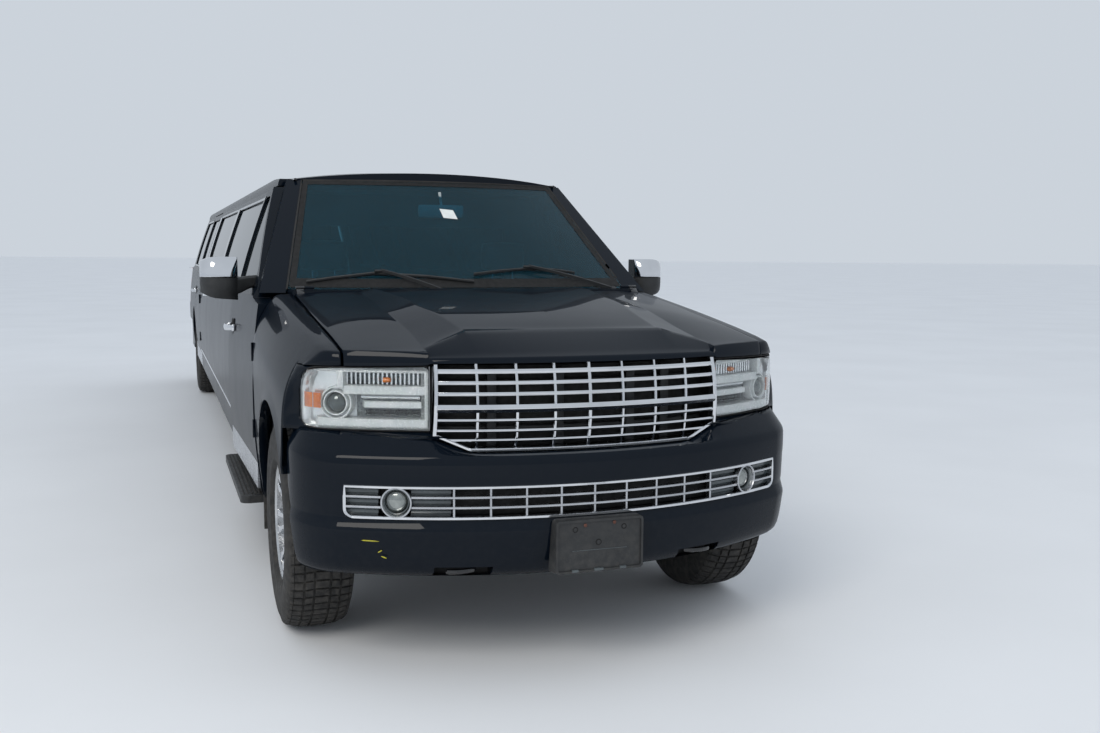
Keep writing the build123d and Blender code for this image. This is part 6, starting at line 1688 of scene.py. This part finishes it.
def addPad(name, centre, size, turn=(0, 0, 0), channels=0, axis=0, instead=()):
    box = within(centre, size, turn)
    mesh = padForm([d - seats["shrink"] for d in size], channels, axis)
    bmesh.ops.transform(mesh, matrix=place(centre, turn, (1, 1, 1)), verts=mesh.verts)
    bmesh.ops.recalc_face_normals(mesh, faces=mesh.faces)
    obj = finish(name, mesh, "body", leather, "seat_leather", list(instead), subdivide=1)
    seats["pads"].append((obj, box))


def within(centre, size, turn):
    # A pad may not pass the box of its CAD solid by more than the slack
    reach = [0.0, 0.0, 0.0]
    m = place((0, 0, 0), turn, (1, 1, 1))
    for sx in (-0.5, 0.5):
        for sy in (-0.5, 0.5):
            for sz in (-0.5, 0.5):
                corner = m @ Vector((sx * size[0], sy * size[1], sz * size[2]))
                reach = [max(a, abs(b)) for a, b in zip(reach, corner)]
    reach = [r + seats["slack"] for r in reach]
    return [c - r for c, r in zip(centre, reach)], [c + r for c, r in zip(centre, reach)]


# Front seats: cushion, back and headrest on a plastic base with two posts
for label, (x0, x1) in zip(("left", "right"), seats["frontX"]):
    middle = (x0 + x1) / 2
    addPad(f"frontCushion_{label}", (middle, -2.4975, 0.700), (x1 - x0 - 0.004, 0.530, 0.140), channels=3,
           instead=["front_seats"] if label == "left" else ())
    addPad(f"frontBack_{label}", (middle, -2.2150, 1.000), (x1 - x0 - 0.004, 0.105, 0.590), turn=(-8.5, 0, 0),
           channels=3)
    addPad(f"headrest_{label}", (middle, -2.1625, 1.435), (0.258, 0.098, 0.168))
    mesh = bmesh.new()
    for dx in (-0.06, 0.06):
        addRod(mesh, (middle + dx, -2.172, 1.27), (middle + dx, -2.164, 1.37), 0.006, segments=10)
    finish(f"headrestPosts_{label}", mesh, "body", chrome, "chrome_trim", sharp=40)
    mesh = bmesh.new()
    addBlock(mesh, (middle, -2.4975, 0.590), (x1 - x0 - 0.06, 0.480, 0.074), soft=0.018)
    for dx in (-0.19, 0.19):
        addBlock(mesh, (middle + dx, -2.4975, 0.545), (0.040, 0.460, 0.030), soft=0.006)
    finish(f"frontSeatBase_{label}", mesh, "body", grainBlack, "black_plastic", sharp=40)

# Saloon: a side bench of five places and the rear bench of three
bench = {"y": (-1.4425, 1.9975), "count": 5}
length = (bench["y"][1] - bench["y"][0]) / bench["count"]
for n in range(bench["count"]):
    y = bench["y"][0] + length * (n + 0.5)
    addPad(f"benchCushion_{n + 1}", (-0.600, y, 0.715), (0.536, length - 0.006, 0.146), channels=4, axis=1,
           instead=["saloon_seats"] if n == 0 else ())
    addPad(f"benchBack_{n + 1}", (-0.800, y, 0.985), (0.092, length - 0.006, 0.380), turn=(0, -8.5, 0), channels=4,
           axis=1)
mesh = bmesh.new()
middle, whole = sum(bench["y"]) / 2, bench["y"][1] - bench["y"][0]
addBlock(mesh, (-0.645, middle, 0.590), (0.440, whole - 0.01, 0.096), soft=0.012)
addBlock(mesh, (-0.655, middle, 0.560), (0.400, whole - 0.10, 0.050), soft=0.010)
finish("benchBase", mesh, "body", grainBlack, "black_plastic", sharp=40)
rear = car["rearAxle"]
for n in range(3):
    x = -0.4267 + 0.4267 * n
    addPad(f"rearCushion_{n + 1}", (x, rear - 0.230, 0.845), (0.420, 0.570, 0.110), channels=3)
    addPad(f"rearBack_{n + 1}", (x, rear + 0.115, 1.150), (0.420, 0.110, 0.520), turn=(-12.5, 0, 0), channels=3)
for obj, box in seats["pads"]:
    swell(obj, seats["cap"], box)
print("seats done")

# Dashboard: hood over the dials, vents, middle screen, knobs and the column's stalks
dash = {"wheel": (0.430, -2.7575, 1.080), "tilt": 28, "vents": (-0.70, -0.20, 0.10, 0.72), "slats": 5,
        "ventLow": 1.090, "knobs": 6, "face": -2.8450}
mesh = bmesh.new()
rings = []
for k in range(9):
    a = math.radians(180 * k / 8)
    x = dash["wheel"][0] + 0.165 * math.cos(a)
    z = 1.205 + 0.048 * math.sin(a)
    rings.append([(x, -2.985, z - 0.010), (x, -2.985, z + 0.004), (x, -2.868, z + 0.001), (x, -2.868, z - 0.008)])
sweep(mesh, rings)
finish("dialHood", mesh, "body", grainBlack, "black_plastic", sharp=40)
mesh = bmesh.new()
for x in dash["vents"]:
    for n in range(dash["slats"]):
        addBlock(mesh, (x, dash["face"] + 0.0005, dash["ventLow"] + 0.012 * n), (0.105, 0.012, 0.003),
                 turn=(20, 0, 0), soft=0.0008)
finish("dashVents", mesh, "body", trimAndShadeBlack, "black_plastic", sharp=30)
mesh = bmesh.new()
for x in dash["vents"]:
    for dx, dz, wide, tall in ((0, -0.010, 0.122, 0.005), (0, 0.058, 0.122, 0.005), (-0.0585, 0.024, 0.005, 0.068),
                               (0.0585, 0.024, 0.005, 0.068)):
        addBlock(mesh, (x + dx, dash["face"], dash["ventLow"] + dz), (wide, 0.010, tall), soft=0.001)
addBlock(mesh, (-0.05, dash["face"], 1.055), (0.26, 0.010, 0.006), soft=0.001)
finish("ventFrames", mesh, "body", satinTrim, "chrome_trim", sharp=30)
mesh = bmesh.new()
addBlock(mesh, (-0.05, dash["face"], 1.022), (0.200, 0.010, 0.055), soft=0.002)
finish("middleScreen", mesh, "body", glossBlack, "black_plastic", sharp=30)
mesh = bmesh.new()
for n in range(dash["knobs"]):
    spun(mesh, [(0.0, 0.016), (0.010, 0.015), (0.013, 0.010), (0.014, 0.0), (0.0, 0.0)],
         Matrix.Translation((-0.15 + 0.04 * n, -2.8735, 0.975)) @ Matrix.Rotation(math.radians(-75), 4, "X"), 16)
finish("dashKnobs", mesh, "body", satinTrim, "chrome_trim", sharp=40)
x, y, z = dash["wheel"]
lie = Matrix.Translation((x, y, z)) @ Matrix.Rotation(math.radians(-(90 - dash["tilt"])), 4, "X")
mesh = bmesh.new()
for side in (-1, 1):
    addRod(mesh, lie @ Vector((side * 0.03, 0.03, -0.085)), lie @ Vector((side * 0.165, 0.055, -0.075)), 0.006,
           0.005, 10, 0.001)
finish("columnStalks", mesh, "body", grainBlack, "black_plastic", sharp=40)

# Door cards: an armrest and a pocket on each door
for kind, (y0, y1) in doors.items():
    for side in (1, -1):
        name = sideName(side)
        mesh = bmesh.new()
        middle = (y0 + y1) / 2 + 0.10
        addBlock(mesh, (side * 0.8785, middle, 0.98), (0.046, 0.520, 0.060), soft=0.018)
        addBlock(mesh, (side * 0.893, middle - 0.02, 0.66), (0.026, 0.440, 0.120), soft=0.010)
        finish(f"doorRest_{kind}_{name}", mesh, f"{kind}_{name}", grainBlack, "black_plastic", sharp=40)
print("cabin done")

# Floor, light and world
studio = {"background": (0.60, 0.65, 0.71), "light": (0.74, 0.80, 0.88), "level": 0.95, "key": 950.0,
          "keySize": 7.0, "keyColor": (1.0, 0.96, 0.90), "keyPlace": (-8.5, -13.0, 10.5),
          "keyAim": (0, -3.5, 0.6), "floorSize": 400}
floorMesh = bmesh.new()
bmesh.ops.create_grid(floorMesh, x_segments=1, y_segments=1, size=studio["floorSize"])
data = bpy.data.meshes.new("floor")
floorMesh.to_mesh(data)
floorMesh.free()
floor = bpy.data.objects.new("floor", data)
scene.collection.objects.link(floor)
floor.data.materials.append(look("paleFloor", (0.80, 0.81, 0.82), (0.77, 0.78, 0.79), 0.9, 0.05, patch=0.6,
                                 grain=0.1, grainSize=60.0))
world = bpy.data.worlds.new("studio")
scene.world = world
world.use_nodes = True
tree = world.node_tree
lit = tree.nodes["Background"]
lit.inputs["Color"].default_value = (*studio["light"], 1)
lit.inputs["Strength"].default_value = studio["level"]
seen = tree.nodes.new("ShaderNodeBackground")
seen.inputs["Color"].default_value = (*studio["background"], 1)
seen.inputs["Strength"].default_value = 1.0
path = tree.nodes.new("ShaderNodeLightPath")
before = path.outputs["Is Camera Ray"]
for kind in ("Is Glossy Ray", "Is Transmission Ray"):
    either = tree.nodes.new("ShaderNodeMath")
    either.operation = "MAXIMUM"
    tree.links.new(before, either.inputs[0])
    tree.links.new(path.outputs[kind], either.inputs[1])
    before = either.outputs[0]
mixed = tree.nodes.new("ShaderNodeMixShader")
tree.links.new(before, mixed.inputs["Fac"])
tree.links.new(lit.outputs[0], mixed.inputs[1])
tree.links.new(seen.outputs[0], mixed.inputs[2])
tree.links.new(mixed.outputs[0], tree.nodes["World Output"].inputs["Surface"])
key = bpy.data.lights.new("key", "AREA")
key.energy = studio["key"]
key.size = studio["keySize"]
key.color = studio["keyColor"]
lamp = bpy.data.objects.new("key", key)
aim = Vector(studio["keyPlace"]) - Vector(studio["keyAim"])
lamp.matrix_world = Matrix.Translation(studio["keyPlace"]) @ aim.to_track_quat("Z", "Y").to_matrix().to_4x4()
scene.collection.objects.link(lamp)
print("light done")
